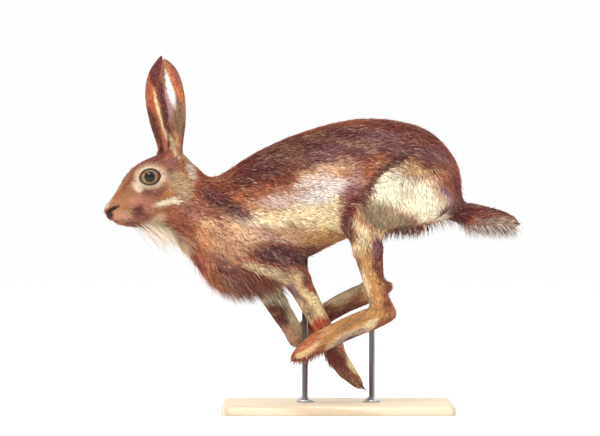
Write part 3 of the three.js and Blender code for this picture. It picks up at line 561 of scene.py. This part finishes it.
FORE_PATCHES = [
    (paint(242, 206, 156), 0.95, (-43, 142), (56, 14), -60, NEAR),
    (paint(250, 232, 180), 0.9, (-31, 143), (30, 6), -62, NEAR),
    (paint(150, 84, 58), 0.8, (-58, 136), (48, 5), -62, NEAR),
    (paint(104, 70, 96), 0.85, (-58, 162), (18, 6), -62, NEAR),
    (paint(142, 120, 88), 0.85, (-44, 141), (20, 6), -56, NEAR),
    (paint(160, 76, 52), 0.7, (-32, 166), (36, 3.5), -66, NEAR),
    (paint(204, 74, 40), 0.95, (-28, 117), (13, 10), 0, NEAR),
    (CREAM, 0.85, (-74, 140), (56, 20), -60, FAR_SIDE),
    (paint(232, 228, 196), 0.9, (-80, 150), (18, 13), -20, FAR_SIDE),
    (paint(104, 36, 36), 0.97, (-80, 126), (28, 12), -60, FAR_SIDE),
    (paint(200, 152, 122), 0.85, (-62, 98), (24, 13), -40, FAR_SIDE),
    (paint(114, 46, 40), 0.92, (-2, 68), (36, 9), -52, NEAR),
    (paint(250, 228, 176), 0.9, (22, 60), (38, 6), -54, NEAR),
    (paint(150, 120, 84), 0.85, (14, 40), (14, 7), -50, NEAR),
]
EAR_PATCHES = [
    (paint(150, 96, 72), 1.0, (-205, 400), (90, 60), 90, NEAR),
    (paint(178, 140, 138), 0.95, (-220, 396), (26, 7), -80, NEAR),
    (paint(252, 249, 244), 1.0, (-216, 415), (28, 6), -78, NEAR),
    (paint(132, 104, 76), 0.95, (-205, 374), (20, 7), 88, NEAR),
    (paint(198, 112, 68), 0.95, (-211, 424), (36, 4.5), -66, NEAR),
    (paint(212, 168, 116), 0.9, (-197, 380), (24, 3), -88, NEAR),
    (paint(94, 36, 40), 0.95, (-226, 398), (56, 4.5), -80, NEAR),
    (paint(196, 150, 100), 0.8, (-209, 350), (14, 4), -70, NEAR),
    (paint(234, 208, 164), 0.9, (-216, 346), (20, 4), -66, NEAR),
    (paint(176, 96, 60), 1.0, (-240, 400), (90, 60), 90, FAR_SIDE),
    (paint(104, 40, 44), 0.97, (-237, 440), (30, 11), 78, FAR_SIDE),
    (paint(96, 38, 42), 0.9, (-232, 405), (20, 5), -78, FAR_SIDE),
    (paint(190, 98, 62), 0.9, (-246, 411), (32, 5), -82, FAR_SIDE),
    (paint(240, 214, 166), 0.95, (-231, 381), (42, 3.5), -73, FAR_SIDE),
    (paint(80, 34, 42), 0.95, (-239, 368), (32, 5), -69, FAR_SIDE),
]
PATCH_EDGE = (0.55, 1.15)  # a patch is full inside the first share of its reach, gone past the second


LIMB_FLANK = (0.1, 0.5)  # a leg's colours fade where its skin turns from the side to the front and rear
LIMB_EDGE = 12  # rounds of smoothing where a leg's colours run into the trunk's
EYE_RING = (20, 16, 10)  # half length, half height and tilt of the pale ring, in mm and degrees
STROKES = [  # noise per metre, colour where it is high and how strong, the same where it is low
    (60, (96, 36, 40), 0.55, (240, 192, 138), 0.3),
    (170, (86, 32, 36), 0.5, (246, 208, 160), 0.36),
]
CALM = (-200, 225, 0.35)  # on the head, in front of and above this, all of that is weaker


def smooth_step(values, start, end):
    t = np.clip((values - start) / (end - start), 0, 1)
    return t * t * (3 - 2 * t)


def laid_over(colour, patches, spots):
    """Colours at some spots with soft patches laid over them one by one."""
    for finish, strength, (x, z), (reach, width), turn, side in patches:
        a = math.radians(turn)
        dx, dz = spots[:, 0] / MM - x, spots[:, 2] / MM - z
        away = np.hypot((dx * math.cos(a) + dz * math.sin(a)) / reach, (dz * math.cos(a) - dx * math.sin(a)) / width)
        share = strength * smooth_step(away, PATCH_EDGE[1], PATCH_EDGE[0])
        if side == FLANKS:
            share = share * smooth_step(np.abs(spots[:, 1]), 2 * MM, 5 * MM)
        elif side:
            share = share * smooth_step(spots[:, 1] * side, -1.5 * MM, 1.5 * MM)
        colour = colour + (np.array(finish) - colour) * share[:, None]
    return colour


def noise_at(points, scale):
    return np.array([noise.noise(point) for point in points * scale])


def tinted(points, lies, kinds):
    """The colour of the hair that grows at each of some points."""
    hinds, fores, leaves, cups, flanks = kinds.T[:, :, None]
    head = smooth_step(points[:, 0] / MM, CALM[0] + 12, CALM[0] - 8) * (points[:, 2] > CALM[1] * MM)
    busy = (1 - (1 - CALM[2]) * head)[:, None]
    drift = np.array([noise.noise_vector(point) for point in points * 38.0])
    spots = points + drift * busy * 7 * MM
    colour = laid_over(np.tile(RUST, (len(points), 1)), PATCHES, spots)
    for patches, share in ((HIND_PATCHES, hinds), (FORE_PATCHES, fores)):
        colour += (laid_over(colour, patches, spots) - colour) * share * flanks
    for scale, dark, deep, light, bright in STROKES:
        step = lies * 0.8 / scale
        streak = sum(noise_at(points + step * k, scale) for k in (-2, -1, 0, 1, 2)) / 5
        pale = smooth_step(colour.mean(1), 0.08, 0.4)[:, None]
        low = deep * busy * (1 - 0.45 * pale) * smooth_step(streak, 0.02, 0.28)[:, None]
        high = bright * busy * (0.4 + 0.6 * pale) * smooth_step(streak, -0.04, -0.3)[:, None]
        colour += (np.array(paint(*dark)) - colour) * low
        colour += (np.array(paint(*light)) - colour) * high
    for side, eye in zip((NEAR, FAR_SIDE), (EYES["left"], EYES["right"])):
        half_length, half_height, turn = EYE_RING
        ring = paint(246, 226, 196), 0.95, (eye.x / MM, eye.z / MM), (half_length, half_height), turn, side
        colour = laid_over(colour, [ring], points)
    ear_spots = points + drift * 2.5 * MM
    inside = laid_over(np.tile(paint(150, 96, 72), (len(points), 1)), EAR_PATCHES, ear_spots)
    up_ear = smooth_step(points[:, 2] / MM, 425, 460)[:, None]
    outside = np.array(paint(122, 70, 54)) * (1 - up_ear) + np.array(paint(70, 34, 32)) * up_ear
    on_ear = outside + (inside - outside) * (0.5 + 0.5 * cups)
    return np.clip(colour + (on_ear - colour) * leaves, 0, 1)


class Flow:
    """A value, vector or colour on its way through one material's nodes."""

    def __init__(self, tree, socket=None):
        self.tree = tree
        self.socket = socket

    def node(self, kind, settings, values, out=0):
        made = self.tree.nodes.new(kind)
        for name, value in settings.items():
            setattr(made, name, value)
        for name, value in values.items():
            if isinstance(value, Flow):
                self.tree.links.new(value.socket, made.inputs[name])
            else:
                made.inputs[name].default_value = value
        return Flow(self.tree, made.outputs[out])

    def math(self, operation, a, b=0.0):
        return self.node("ShaderNodeMath", {"operation": operation}, {0: a, 1: b})

    def __add__(self, other):
        return self.math("ADD", self, other)

    def __sub__(self, other):
        return self.math("SUBTRACT", self, other)

    def __rsub__(self, other):
        return self.math("SUBTRACT", other, self)

    def __mul__(self, other):
        return self.math("MULTIPLY", self, other)

    __radd__ = __add__
    __rmul__ = __mul__

    def over(self, start, end, low=0.0, high=1.0):
        """A smooth step from low at start to high at end."""
        values = {0: self, 1: start, 2: end, 3: low, 4: high}
        return self.node("ShaderNodeMapRange", {"interpolation_type": "SMOOTHSTEP"}, values)

    def shifted(self, other):
        return self.node("ShaderNodeVectorMath", {"operation": "ADD"}, {0: self, 1: other})

    def scaled(self, factor):
        return self.node("ShaderNodeVectorMath", {"operation": "MULTIPLY"}, {0: self, 1: factor})

    def noise(self, scale, detail=3.0):
        return self.node("ShaderNodeTexNoise", {}, {0: self, 2: scale, 3: detail})

    def attribute(self, name, out=2):
        return self.node("ShaderNodeAttribute", {"attribute_name": name}, {}, out)

    def feeds(self, shader, name):
        self.tree.links.new(self.socket, shader.inputs[name])


def place_in(made):
    """Where a point is on the object, as a material's own nodes know it."""
    return Flow(made.node_tree).node("ShaderNodeTexCoord", {}, {}, out=3)


def blended(a, b, share):
    """Colour a with a share of colour b laid over it."""
    values = {0: share, 6: a, 7: b}
    for key in (6, 7):
        if not isinstance(values[key], Flow):
            values[key] = (*values[key], 1)
    return share.node("ShaderNodeMix", {"data_type": "RGBA"}, values, out=2)


def darkened(colour, factor):
    """A colour made lighter or darker by a value."""
    grey = factor.node("ShaderNodeCombineXYZ", {}, {0: factor, 1: factor, 2: factor})
    return colour.node("ShaderNodeVectorMath", {"operation": "MULTIPLY"}, {0: colour, 1: grey})


def fur(name, bumpy):
    made, shader = material(name, 0.62)
    shader.inputs["Sheen Weight"].default_value = 0.08
    shader.inputs["Sheen Roughness"].default_value = 0.5
    shader.inputs["Specular IOR Level"].default_value = 0.2
    place = place_in(made)
    colour = place.attribute("tint", 0)
    streak = place.scaled((45.0, 190.0, 190.0)).noise(1.0, 3.0)
    tone = 0.78 + streak * 0.8
    if bumpy:
        fine = place.scaled((260.0, 900.0, 900.0)).noise(1.0, 2.0)
        place.node("ShaderNodeBump", {}, {"Strength": 0.5, "Distance": 0.0012, "Height": fine}).feeds(shader, "Normal")
        tone = tone * (0.6 + fine * 0.5)
        # the pressed creases of the nostrils, mouth and cleft are painted near black: painted shade in these recesses
        colour = blended(colour, paint(30, 14, 16), place.attribute("crease"))
    else:
        shade = place.attribute("shade")
        along = place.attribute("along")
        tone = tone * (0.84 + shade * 0.34) * (0.74 + along * 0.38)
        colour = blended(colour, DARK, shade.over(0.16, 0.0, 0.0, 0.3) * along)
        colour = blended(colour, CREAM, shade.over(0.82, 1.0, 0.0, 0.3) * along)
    darkened(colour, tone).feeds(shader, "Base Color")
    return made


kinds = np.column_stack([
    spread(np.array([float(name.startswith(begins)) for name in owner]), skin_edges, LIMB_EDGE)
    for begins in (("thigh", "shin", "hind_foot"), ("upper_arm", "forearm", "forepaw"))
] + [leaf, cup, 0.3 + 0.7 * smooth_step(np.abs(normals[:, 1]), *LIMB_FLANK)])
tint = tinted(co, lie, kinds)
skin_tint = np.column_stack((tint, np.ones(len(co))))
skin_mesh.attributes.new("tint", "FLOAT_COLOR", "POINT").data.foreach_set("color", skin_tint.ravel())
# crease also carries the painted shade laid into the muzzle's creases
skin_mesh.attributes.new("crease", "FLOAT", "POINT").data.foreach_set("value", crease)
skin_finish = fur("skin_fur", True)
coat_finish = fur("coat_fur", False)
skin_mesh.materials.append(skin_finish)

# Coat
# Short overlapping locks of hair, each a thin three-sided blade with its root in the skin. They
# lie along the body, hug it, and lift only at the breast, the throat, the haunch and the tail.
SEED = 7
COAT_PIECES = {
    "coat_head": ("head",),
    "coat_ears": ("ear_left", "ear_right"),
    "coat_neck_tail": ("neck", "tail"),
    "coat_chest": ("chest",),
    "coat_belly": ("belly",),
    "coat_rump": ("rump",),
    "coat_thighs": ("thigh_left", "thigh_right"),
    "coat_forelegs": ("upper_arm_left", "upper_arm_right", "forearm_left", "forearm_right"),
    "coat_forepaws": ("forepaw_left", "forepaw_right"),
    "coat_shins": ("shin_left", "shin_right"),
    "coat_hind_feet": ("hind_foot_left", "hind_foot_right"),
}
# longer, looser hair: place and reach in mm, how much longer, how much it lifts in mm
SHAG = [
    ((-225, 0, 236), (38, 30, 16), 2.2, 9),  # throat
    ((-140, 0, 172), (52, 45, 30), 0.7, 4),  # breast
    ((100, 45, 230), (40, 30, 18), 0.5, 4),  # back of the haunch
    ((100, -45, 230), (40, 30, 18), 0.5, 4),
    ((172, 0, 236), (44, 25, 14), 0.6, 4),  # under the tail
]
STRAYS = (0.07, 1.9)  # share of hairs that stand off the coat, and how many times as high at most
EYE_CLEAR = (9, 17)  # degrees past the lids where hair starts, and where it is full
NOSE_HAIR = (-312, 62)  # hair grows from short at the nose to its full length this far back

tris = triangles_of(skin_mesh)
depth, hair_length, hair_width, crowding = table[:, :4].T
lift = np.zeros(len(co))
longer = np.ones(len(co))
for centre, reach, gain, rise in SHAG:
    away = np.linalg.norm((co - np.array(centre) * MM) / (np.array(reach) * MM), axis=1)
    near = np.clip(1 - away ** 2, 0, 1)
    longer += gain * near
    lift += rise * near
crowding = crowding * (1 - crease) * np.clip((past_lids - EYE_CLEAR[0]) / (EYE_CLEAR[1] - EYE_CLEAR[0]), 0, 1)
from_nose = np.clip((co[:, 0] / MM - NOSE_HAIR[0]) / NOSE_HAIR[1], 0.35, 1)
hair_length = hair_length * np.where(leaf > 0, 1, from_nose * np.clip(past_lids / 60, 0.45, 1))
depth = depth * np.where(leaf > 0, 1, from_nose)

rng = np.random.default_rng(SEED)
corner = co[tris]
area = np.linalg.norm(np.cross(corner[:, 1] - corner[:, 0], corner[:, 2] - corner[:, 0]), axis=1) / 2
surface = BVHTree.FromPolygons([tuple(p) for p in co], [tuple(t) for t in tris])
BAKE_PATCH = 0.003


def skin_unwrap():
    """The skin's own unwrap, as the place of each triangle's corners on it."""
    flat = bpy.data.objects.new("flat", skin_mesh.copy())
    scene.collection.objects.link(flat)
    bpy.context.view_layer.objects.active = flat
    flat.select_set(True)
    bpy.ops.object.mode_set(mode="EDIT")
    bpy.ops.mesh.select_all(action="SELECT")
    bpy.ops.uv.smart_project(angle_limit=math.radians(66), island_margin=0)
    bpy.ops.object.mode_set(mode="OBJECT")
    mesh = flat.data
    where = np.empty(len(mesh.loops) * 2)
    mesh.uv_layers.active.data.foreach_get("uv", where)
    mesh.calc_loop_triangles()
    loops = np.empty(len(mesh.loop_triangles) * 3, np.int32)
    mesh.loop_triangles.foreach_get("loops", loops)
    bpy.data.objects.remove(flat)
    return where.reshape(-1, 2)[loops.reshape(-1, 3)]


unwrap = skin_unwrap()


class Roots:
    """Random roots in the skin, and what the skin is like at each."""

    def __init__(self, expected):
        running = np.cumsum(expected)
        self.count = int(running[-1])
        host = np.searchsorted(running, np.arange(self.count) + rng.random(self.count))
        self.host = np.minimum(host, len(tris) - 1)
        share = rng.random((self.count, 2))
        fold = share.sum(1) > 1
        share[fold] = 1 - share[fold]
        self.weights = np.column_stack((1 - share.sum(1), share))
        self.point = self.of(co)
        self.out = unit(self.of(normals))
        along = self.of(lie)
        along = unit(along - self.out * (along * self.out).sum(1)[:, None])
        turn = rng.normal(0, 0.2, self.count)[:, None]
        self.along = along * np.cos(turn) + np.cross(self.out, along) * np.sin(turn)
        self.flat = np.einsum("ij,ijk->ik", self.weights, unwrap[self.host])
        self.tint = tinted(self.point, self.along, self.of(kinds))
        self.shade = rng.random(self.count)

    def of(self, values):
        return np.einsum("ij,ij...->i...", self.weights, values[tris[self.host]])


def locks(name, roots, rings, tips, chosen):
    """A coat piece of the chosen locks: rings of three points each, drawn to a tip."""
    deep = len(rings)
    points = np.stack([*[p[chosen] for one in rings for p in one], tips[chosen]], 1)
    each = points.shape[1]
    around = ((0, 1), (1, 2), (2, 0))
    faces = [(0, 2, 1)]
    for k in range(deep - 1):
        for a, b in around:
            faces += [(3 * k + a, 3 * k + b, 3 * k + 3 + b), (3 * k + a, 3 * k + 3 + b, 3 * k + 3 + a)]
    faces += [(each - 4 + a, each - 4 + b, each - 1) for a, b in around]
    count = int(chosen.sum())
    faces = (np.array(faces)[None] + each * np.arange(count)[:, None, None]).reshape(-1, 3)
    mesh = bpy.data.meshes.new(name)
    mesh.vertices.add(count * each)
    mesh.vertices.foreach_set("co", points.ravel())
    mesh.loops.add(faces.size)
    mesh.loops.foreach_set("vertex_index", faces.ravel())
    mesh.polygons.add(len(faces))
    mesh.polygons.foreach_set("loop_start", np.arange(0, faces.size, 3))
    mesh.update(calc_edges=True)
    up = np.append(np.repeat(np.arange(deep) / deep, 3), 1)
    side = np.append(np.tile((-0.5, 0, 0.5), deep), 0)
    flat = roots.flat[chosen][:, None] + BAKE_PATCH * np.column_stack((side, up - 0.5))[None]
    mesh.uv_layers.new(name="OFBake").data.foreach_set("uv", np.clip(flat.reshape(-1, 2)[faces.ravel()], 0, 1).ravel())
    tints = np.column_stack((roots.tint[chosen], np.ones(count))).repeat(each, 0)
    mesh.attributes.new("tint", "FLOAT_COLOR", "POINT").data.foreach_set("color", tints.ravel())
    for attribute, values in (("shade", roots.shade[chosen].repeat(each)), ("along", np.tile(up, count))):
        mesh.attributes.new(attribute, "FLOAT", "POINT").data.foreach_set("value", values)
    mesh.materials.append(coat_finish)
    piece = bpy.data.objects.new(name, mesh)
    scene.collection.objects.link(piece)
    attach(piece, "root")
    print("locks", name, count, len(faces))


def laid(points, height):
    """Points drawn to the nearest skin and lifted off it by a height each."""
    placed = np.empty_like(points)
    for i, point in enumerate(points):
        spot, way, _, _ = surface.find_nearest(point)
        placed[i] = spot + way * height[i]
    return placed


def ring(centre, radius, ahead, up):
    side = unit(np.cross(up, ahead))
    return [centre + side * radius[:, None], centre + up * radius[:, None] * 0.45, centre - side * radius[:, None]]


roots = Roots(area / MM ** 2 * crowding[tris].mean(1))
length = roots.of(hair_length * longer) * rng.uniform(0.75, 1.25, roots.count) * MM
width = roots.of(hair_width) * rng.uniform(0.7, 1.2, roots.count) * MM
rise = (roots.of(depth) * rng.uniform(0.75, 1.15, roots.count) + roots.of(lift) * rng.uniform(0.3, 1, roots.count)) * MM
middle = laid(roots.point + roots.along * length[:, None] * 0.5, rise * 0.85 + 0.2 * MM)
stray = np.where(rng.random(roots.count) < STRAYS[0], rng.uniform(1, STRAYS[1], roots.count), 1)
tip = laid(roots.point + roots.along * length[:, None], rise * stray + 0.2 * MM)
first = ring(roots.point - roots.out * 0.6 * MM, width * 0.4, roots.along, roots.out)
second = ring(middle, width * 0.5, unit(tip - roots.point), roots.out)
grows_on = np.array(owner)[tris[roots.host][:, 0]]
for name, parts in COAT_PIECES.items():
    locks(name, roots, [first, second], tip, np.isin(grows_on, parts))

# Loose hair
# Long thin wisps that hang free of the body under the throat, at the breast, behind the haunch,
# under the tail, at the hocks and round the paws. Each bends from the lie of the coat to its own
# way, and some have a colour of their own.
# name: place and reach of its roots, wisps per square mm, way of the tips, length and width in mm,
# colour and how many have it
LOOSE = {
    "wisps_throat": ((-236, 0, 234), (32, 18, 15), 0.34, (0.6, 0, -0.8), (34, 62), 0.9, paint(250, 236, 218), 0.6),
    "wisps_front": ((-180, 0, 204), (22, 34, 40), 0.13, (0.4, 0, -0.92), (16, 32), 1.2, paint(206, 142, 92), 0.35),
    "wisps_breast": ((-146, 0, 172), (66, 44, 28), 0.17, (0.56, 0, -0.83), (18, 38), 1.1, MAROON, 0.4),
    "wisps_haunch": ((92, 0, 230), (52, 60, 16), 0.13, (-0.15, 0, -0.98), (13, 29), 1.5, MAROON, 0.5),
    "wisps_tail_root": ((140, 0, 236), (30, 26, 16), 0.4, (0.3, 0, -0.95), (14, 28), 1.1, paint(160, 122, 104), 0.6),
    "wisps_tail": ((176, 0, 236), (46, 25, 16), 0.42, (0.5, 0, -0.86), (14, 26), 1.0, ASH, 0.6),
    "wisps_hocks": ((52, 0, 165), (14, 60, 22), 0.16, (0.72, 0, -0.7), (8, 16), 1.2, MAROON, 0.6),
    "wisps_toes": ((-32, 0, 76), (30, 60, 17), 0.3, (-0.05, 0, -0.98), (8, 15), 1.2, paint(120, 58, 50), 0.6),
    "wisps_wrist": ((14, 0, 68), (28, 60, 44), 0.14, (0.8, 0, -0.6), (4, 8), 0.8, CREAM, 0.5),
}
for name, (centre, reach, crowd, way, (shortest, longest), thick, own, many) in LOOSE.items():
    away = np.linalg.norm((co - np.array(centre) * MM) / (np.array(reach) * MM), axis=1)
    facing = np.clip((normals @ unit(np.array(way))) * 2 + 0.3, 0, 1)
    zone = np.clip(1.3 - away, 0, 0.6) / 0.6 * facing * (leaf == 0)
    wisps = Roots(area / MM ** 2 * crowd * zone[tris].mean(1))
    wisps.tint = np.where((rng.random(wisps.count) < many)[:, None], own, wisps.tint)
    size = rng.uniform(shortest, longest, wisps.count)[:, None] * MM
    aim = unit(np.array(way) + rng.normal(0, 0.12, (wisps.count, 3)) + wisps.out * 0.12)
    bend = wisps.point + (wisps.along * 0.45 + aim * 0.2 + wisps.out * 0.16) * size * 0.7
    end = bend + aim * size * 0.6
    rings = []
    for t, fat in ((0, 0.7), (0.33, 1), (0.66, 0.75)):
        middle = (1 - t) ** 2 * (wisps.point - wisps.out * MM) + 2 * t * (1 - t) * bend + t * t * end
        radius = np.full(wisps.count, thick * fat / 2 * MM) * rng.uniform(0.7, 1.2, wisps.count)
        rings.append(ring(middle, radius, unit(end - wisps.point), wisps.out))
    locks(name, wisps, rings, end, np.ones(wisps.count, bool))

# Eyes
# Wet, domed balls with a large round pupil in an amber iris. Each sits in its socket behind two
# lids, which are one almond-shaped fold of skin, dark at the rim.
PUPIL = 6.4  # radius in mm
IRIS = 12.4
CORNEA = (34, 0.9)  # the clear dome spans this many degrees and stands this far out, in mm
LID_RINGS = [  # degrees beyond the opening's edge, height over the ball in mm, paleness
    (-3, -0.3, 0), (-1, 0.6, 0), (2, 1.1, 0), (6, 1.35, 0.05), (9, 1.35, 0.9), (14, 1.2, 1), (22, 0.5, 1), (34, -1.5, 1),
]


def loft(name, rings, finish, close_ends=True):
    """A closed tube through rings of points."""
    around = len(rings[0])
    faces = [
        (i * around + j, i * around + (j + 1) % around, (i + 1) * around + (j + 1) % around, (i + 1) * around + j)
        for i in range(len(rings) - 1)
        for j in range(around)
    ]
    if close_ends:
        faces.append(tuple(range(around))[::-1])
        faces.append(tuple(range((len(rings) - 1) * around, len(rings) * around)))
    return mesh_object(name, [point for one in rings for point in one], faces, finish)


def on_ball(centre, way, angle, heading, radius):
    """A point on a ball round an eye, an angle off the line that the eye looks along."""
    off = radius * math.sin(angle)
    return centre + Vector((off * math.cos(heading), way * radius * math.cos(angle), off * math.sin(heading)))


def eye_finish(side):
    made, shader = material(f"eye_{side}", 0.05)
    shader.inputs["Coat Weight"].default_value = 1.0
    shader.inputs["Coat IOR"].default_value = 1.33
    shader.inputs["Specular IOR Level"].default_value = 0.1
    shader.inputs["Coat Roughness"].default_value = 0.02
    local = place_in(made).shifted(-EYES[side]).scaled((1000.0, 0.0, 1000.0))
    off = local.node("ShaderNodeVectorMath", {"operation": "LENGTH"}, {0: local}, out=1)
    heading = local.node("ShaderNodeVectorMath", {"operation": "NORMALIZE"}, {0: local})
    rays = heading.noise(9.0, 4.0)
    amber = blended(paint(88, 62, 30), paint(168, 128, 66), rays.over(0.35, 0.65))
    # the rear of the iris is tinted pinkish brown: a painted reflection
    to_rear = local.node("ShaderNodeSeparateXYZ", {}, {0: local})
    amber = blended(amber, paint(150, 106, 88), to_rear.over(3.0, 10.0, 0.0, 0.8))
    amber = blended(amber, paint(84, 50, 28), off.over(IRIS - 4.5, IRIS))
    amber = blended(amber, paint(70, 42, 22), off.over(PUPIL + 1.6, PUPIL))
    colour = blended(amber, paint(6, 5, 7), off.over(PUPIL + 0.4, PUPIL - 0.2))
    colour = blended(colour, paint(46, 30, 24), off.over(IRIS, IRIS + 0.6))
    colour.feeds(shader, "Base Color")
    return made


lid_finish, lid_shader = material("lid_skin", 0.5)
lid_tone = place_in(lid_finish).noise(700.0, 2.0)
pale_rim = blended(paint(30, 18, 16), paint(226, 204, 164), lid_tone.attribute("pale"))
darkened(pale_rim, 0.7 + lid_tone * 0.6).feeds(lid_shader, "Base Color")
for side in SIDES:
    centre, way = EYES[side], WAY[side]
    rings = []
    for i in range(1, 48):
        angle = math.pi * i / 48
        dome = CORNEA[1] * MM * max(0, math.cos(angle * 90 / CORNEA[0])) if math.degrees(angle) < CORNEA[0] else 0
        radius = EYE_RADIUS - 0.1 * MM + dome
        rings.append([on_ball(centre, way, angle, -way * 2 * math.pi * j / 64, radius) for j in range(64)])
    ball = loft(f"eyeball_{side}", rings, eye_finish(side))
    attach(ball, "root")
    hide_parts(f"eye_{side}")

    half_length, half_height, tilt = LID_OPENING
    rings = []
    steps = 72
    for degrees, height, _ in LID_RINGS:
        one = []
        for j in range(steps):
            turn = -way * 2 * math.pi * j / steps
            u = half_length * math.cos(turn)
            v = half_height * math.sin(turn) * (1 - 0.25 * abs(math.cos(turn)) ** 3)
            heading = math.atan2(v, u) + tilt
            angle = math.asin(min(0.95, math.hypot(u, v) * MM / EYE_RADIUS)) + math.radians(degrees)
            one.append(on_ball(centre, way, angle, heading, EYE_RADIUS + height * MM))
        rings.append(one)
    lids = loft(f"lids_{side}", rings, lid_finish, close_ends=False)
    paleness = np.repeat([row[2] for row in LID_RINGS], steps)
    lids.data.attributes.new("pale", "FLOAT", "POINT").data.foreach_set("value", paleness.astype(float))
    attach(lids, "root")

# Whiskers
# Stiff tapering hairs in rows on the pads beside the nose, swept out and back, and a few over
# each eye.
whisker_finish, whisker_shader = material("whisker", 0.45)
whisker_shader.inputs["Base Color"].default_value = (*paint(196, 178, 156), 1)
PAD_ROWS = 3
PAD_HAIRS = 4


def hair(root, way, length, radius, droop):
    rings = []
    for i in range(9):
        share = i / 8
        middle = root + way * length * share + Vector((0.35, 0, -1)) * droop * share ** 2
        flank = way.cross(Vector((0, 0, 1))).normalized()
        other = way.cross(flank).normalized()
        thick = radius * (1 - 0.85 * share)
        rings.append([
            middle + (flank * math.cos(a) + other * math.sin(a)) * thick
            for a in (0, 2 * math.pi / 3, 4 * math.pi / 3)
        ])
    return rings


for side in SIDES:
    way = WAY[side]
    points, faces = [], []
    roots = [
        (-288 + 5 * column, 253 + 4 * row, 0.15 * row)
        for row in range(PAD_ROWS)
        for column in range(PAD_HAIRS)
    ] + [(-250, 322, 0.9), (-246, 323, 1.0), (-254, 320, 0.8)]
    for x, z, upward in roots:
        spot, outward, _, _ = surface.find_nearest(Vector((x, way * 30, z)) * MM)
        aim = Vector((rng.uniform(0.25, 0.75), way * rng.uniform(0.8, 1.1), upward - 0.35 + rng.uniform(-0.1, 0.1)))
        long = rng.uniform(30, 52) * MM
        rings = hair(spot - outward * MM, aim.normalized(), long, 0.16 * MM, rng.uniform(4, 12) * MM)
        start = len(points)
        points += [point for one in rings for point in one]
        for i in range(len(rings) - 1):
            for j in range(3):
                k = start + i * 3
                faces.append((k + j, k + (j + 1) % 3, k + 3 + (j + 1) % 3, k + 3 + j))
        faces.append((start + 2, start + 1, start))
        faces.append((len(points) - 3, len(points) - 2, len(points) - 1))
    whiskers = mesh_object(f"whiskers_{side}", points, faces, whisker_finish)
    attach(whiskers, "root")

# Claws
# Four curved horns to a paw, dark and lightly polished, each let into the tip of its toe.
claw_finish, claw_shader = material("claw_horn", 0.35)
grain = place_in(claw_finish).scaled((300.0, 900.0, 300.0)).noise(1.0, 3.0)
blended(paint(40, 30, 26), paint(112, 88, 70), grain.over(0.45, 0.75)).feeds(claw_shader, "Base Color")
for paw in ("forepaw", "hind_foot"):
    for side in SIDES:
        names = [f"claw_{paw}_{side}_{i}" for i in (1, 2, 3, 4)]
        horns = bmesh.new()
        for name in names:
            horns.from_mesh(nodes[name].data)
        bmesh.ops.remove_doubles(horns, verts=horns.verts, dist=1e-6)
        mesh = bpy.data.meshes.new(f"claws_{paw}_{side}")
        horns.to_mesh(mesh)
        horns.free()
        rounded = bpy.data.objects.new("rounded", mesh)
        scene.collection.objects.link(rounded)
        rounded.modifiers.new("round", "SUBSURF").levels = 2
        mesh = evaluated(rounded)
        mesh.materials.clear()
        mesh.materials.append(claw_finish)
        mesh.polygons.foreach_set("use_smooth", [True] * len(mesh.polygons))
        claws = bpy.data.objects.new(f"claws_{paw}_{side}", mesh)
        scene.collection.objects.link(claws)
        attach(claws, "root")
        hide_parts(*names)

# Stand base
# A flat limewashed board with round corners and an eased upper edge, which stands on the floor.
BOARD_CORNER = 14 * MM
BOARD_PROFILE = [(0.8, 0), (0, 0.8), (0, 8.2), (0.4, 9.4), (1.3, 10.6), (2.6, 11.6), (4.2, 12)]  # inset, height
wood_finish, wood_shader = material("stand_wood", 0.5)
place = place_in(wood_finish)
bend = place.scaled((2.5, 14.0, 14.0)).noise(1.0, 2.0)
across = place.node("ShaderNodeSeparateXYZ", {}, {0: place}, out=1)
waves = across * 700.0 + bend * 26.0
year_rings = waves.math("SINE", waves)
pores = place.scaled((30.0, 900.0, 900.0)).noise(1.0, 2.0)
wood = blended(paint(226, 208, 180), paint(190, 162, 126), year_rings.over(-0.4, 1.0, 0.0, 0.55))
blended(wood, paint(160, 128, 96), pores.over(0.6, 0.8, 0.0, 0.5)).feeds(wood_shader, "Base Color")
(0.42 + pores * 0.25).feeds(wood_shader, "Roughness")
bump = place.node("ShaderNodeBump", {}, {"Strength": 0.25, "Distance": 0.0004, "Height": pores})
bump.feeds(wood_shader, "Normal")
low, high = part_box("stand_base")
rings = []
for inset, height in BOARD_PROFILE:
    one = []
    for k in range(4):
        cx = (high.x - BOARD_CORNER) * (1 if k in (0, 3) else -1)
        cy = (high.y - BOARD_CORNER) * (1 if k in (0, 1) else -1)
        for j in range(13):
            a = math.pi / 2 * (k + j / 12)
            reach = BOARD_CORNER - inset * MM
            one.append((cx + reach * math.cos(a), cy + reach * math.sin(a), low.z + height * MM))
    rings.append(one)
board = loft("base_board", rings, wood_finish)
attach(board, "root")
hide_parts("stand_base")

# Stand rods
# Two brushed round rods, each rising out of a turned collar screwed to the board and ending in
# a socket in the body.
steel_finish, steel_shader = material("stand_steel", 0.3, 1.0)
steel_shader.inputs["Base Color"].default_value = (*paint(196, 198, 202), 1)
brushed = place_in(steel_finish).scaled((2600.0, 2600.0, 60.0)).noise(1.0, 2.0)
(0.2 + brushed * 0.25).feeds(steel_shader, "Roughness")
bump = brushed.node("ShaderNodeBump", {}, {"Strength": 0.15, "Distance": 0.0002, "Height": brushed})
bump.feeds(steel_shader, "Normal")
COLLAR = [(11, 0), (11, 1.6), (10.4, 2.6), (8.2, 4.0), (6.8, 5.0), (6.2, 6.0), (4.6, 6.4), (4, 6.4)]  # radius, height
for name in ("stand_rod_front", "stand_rod_rear"):
    low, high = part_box(name)
    x = (low.x + high.x) / 2
    profile = [(r, low.z / MM + h) for r, h in COLLAR] + [(4, high.z / MM)]
    rings = [
        [(x + r * MM * math.cos(a), r * MM * math.sin(a), z * MM) for a in np.linspace(0, 2 * math.pi, 49)[:-1]]
        for r, z in profile
    ]
    rod = loft(name.replace("stand_rod", "rod"), rings, steel_finish)
    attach(rod, "root")
    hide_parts(name)
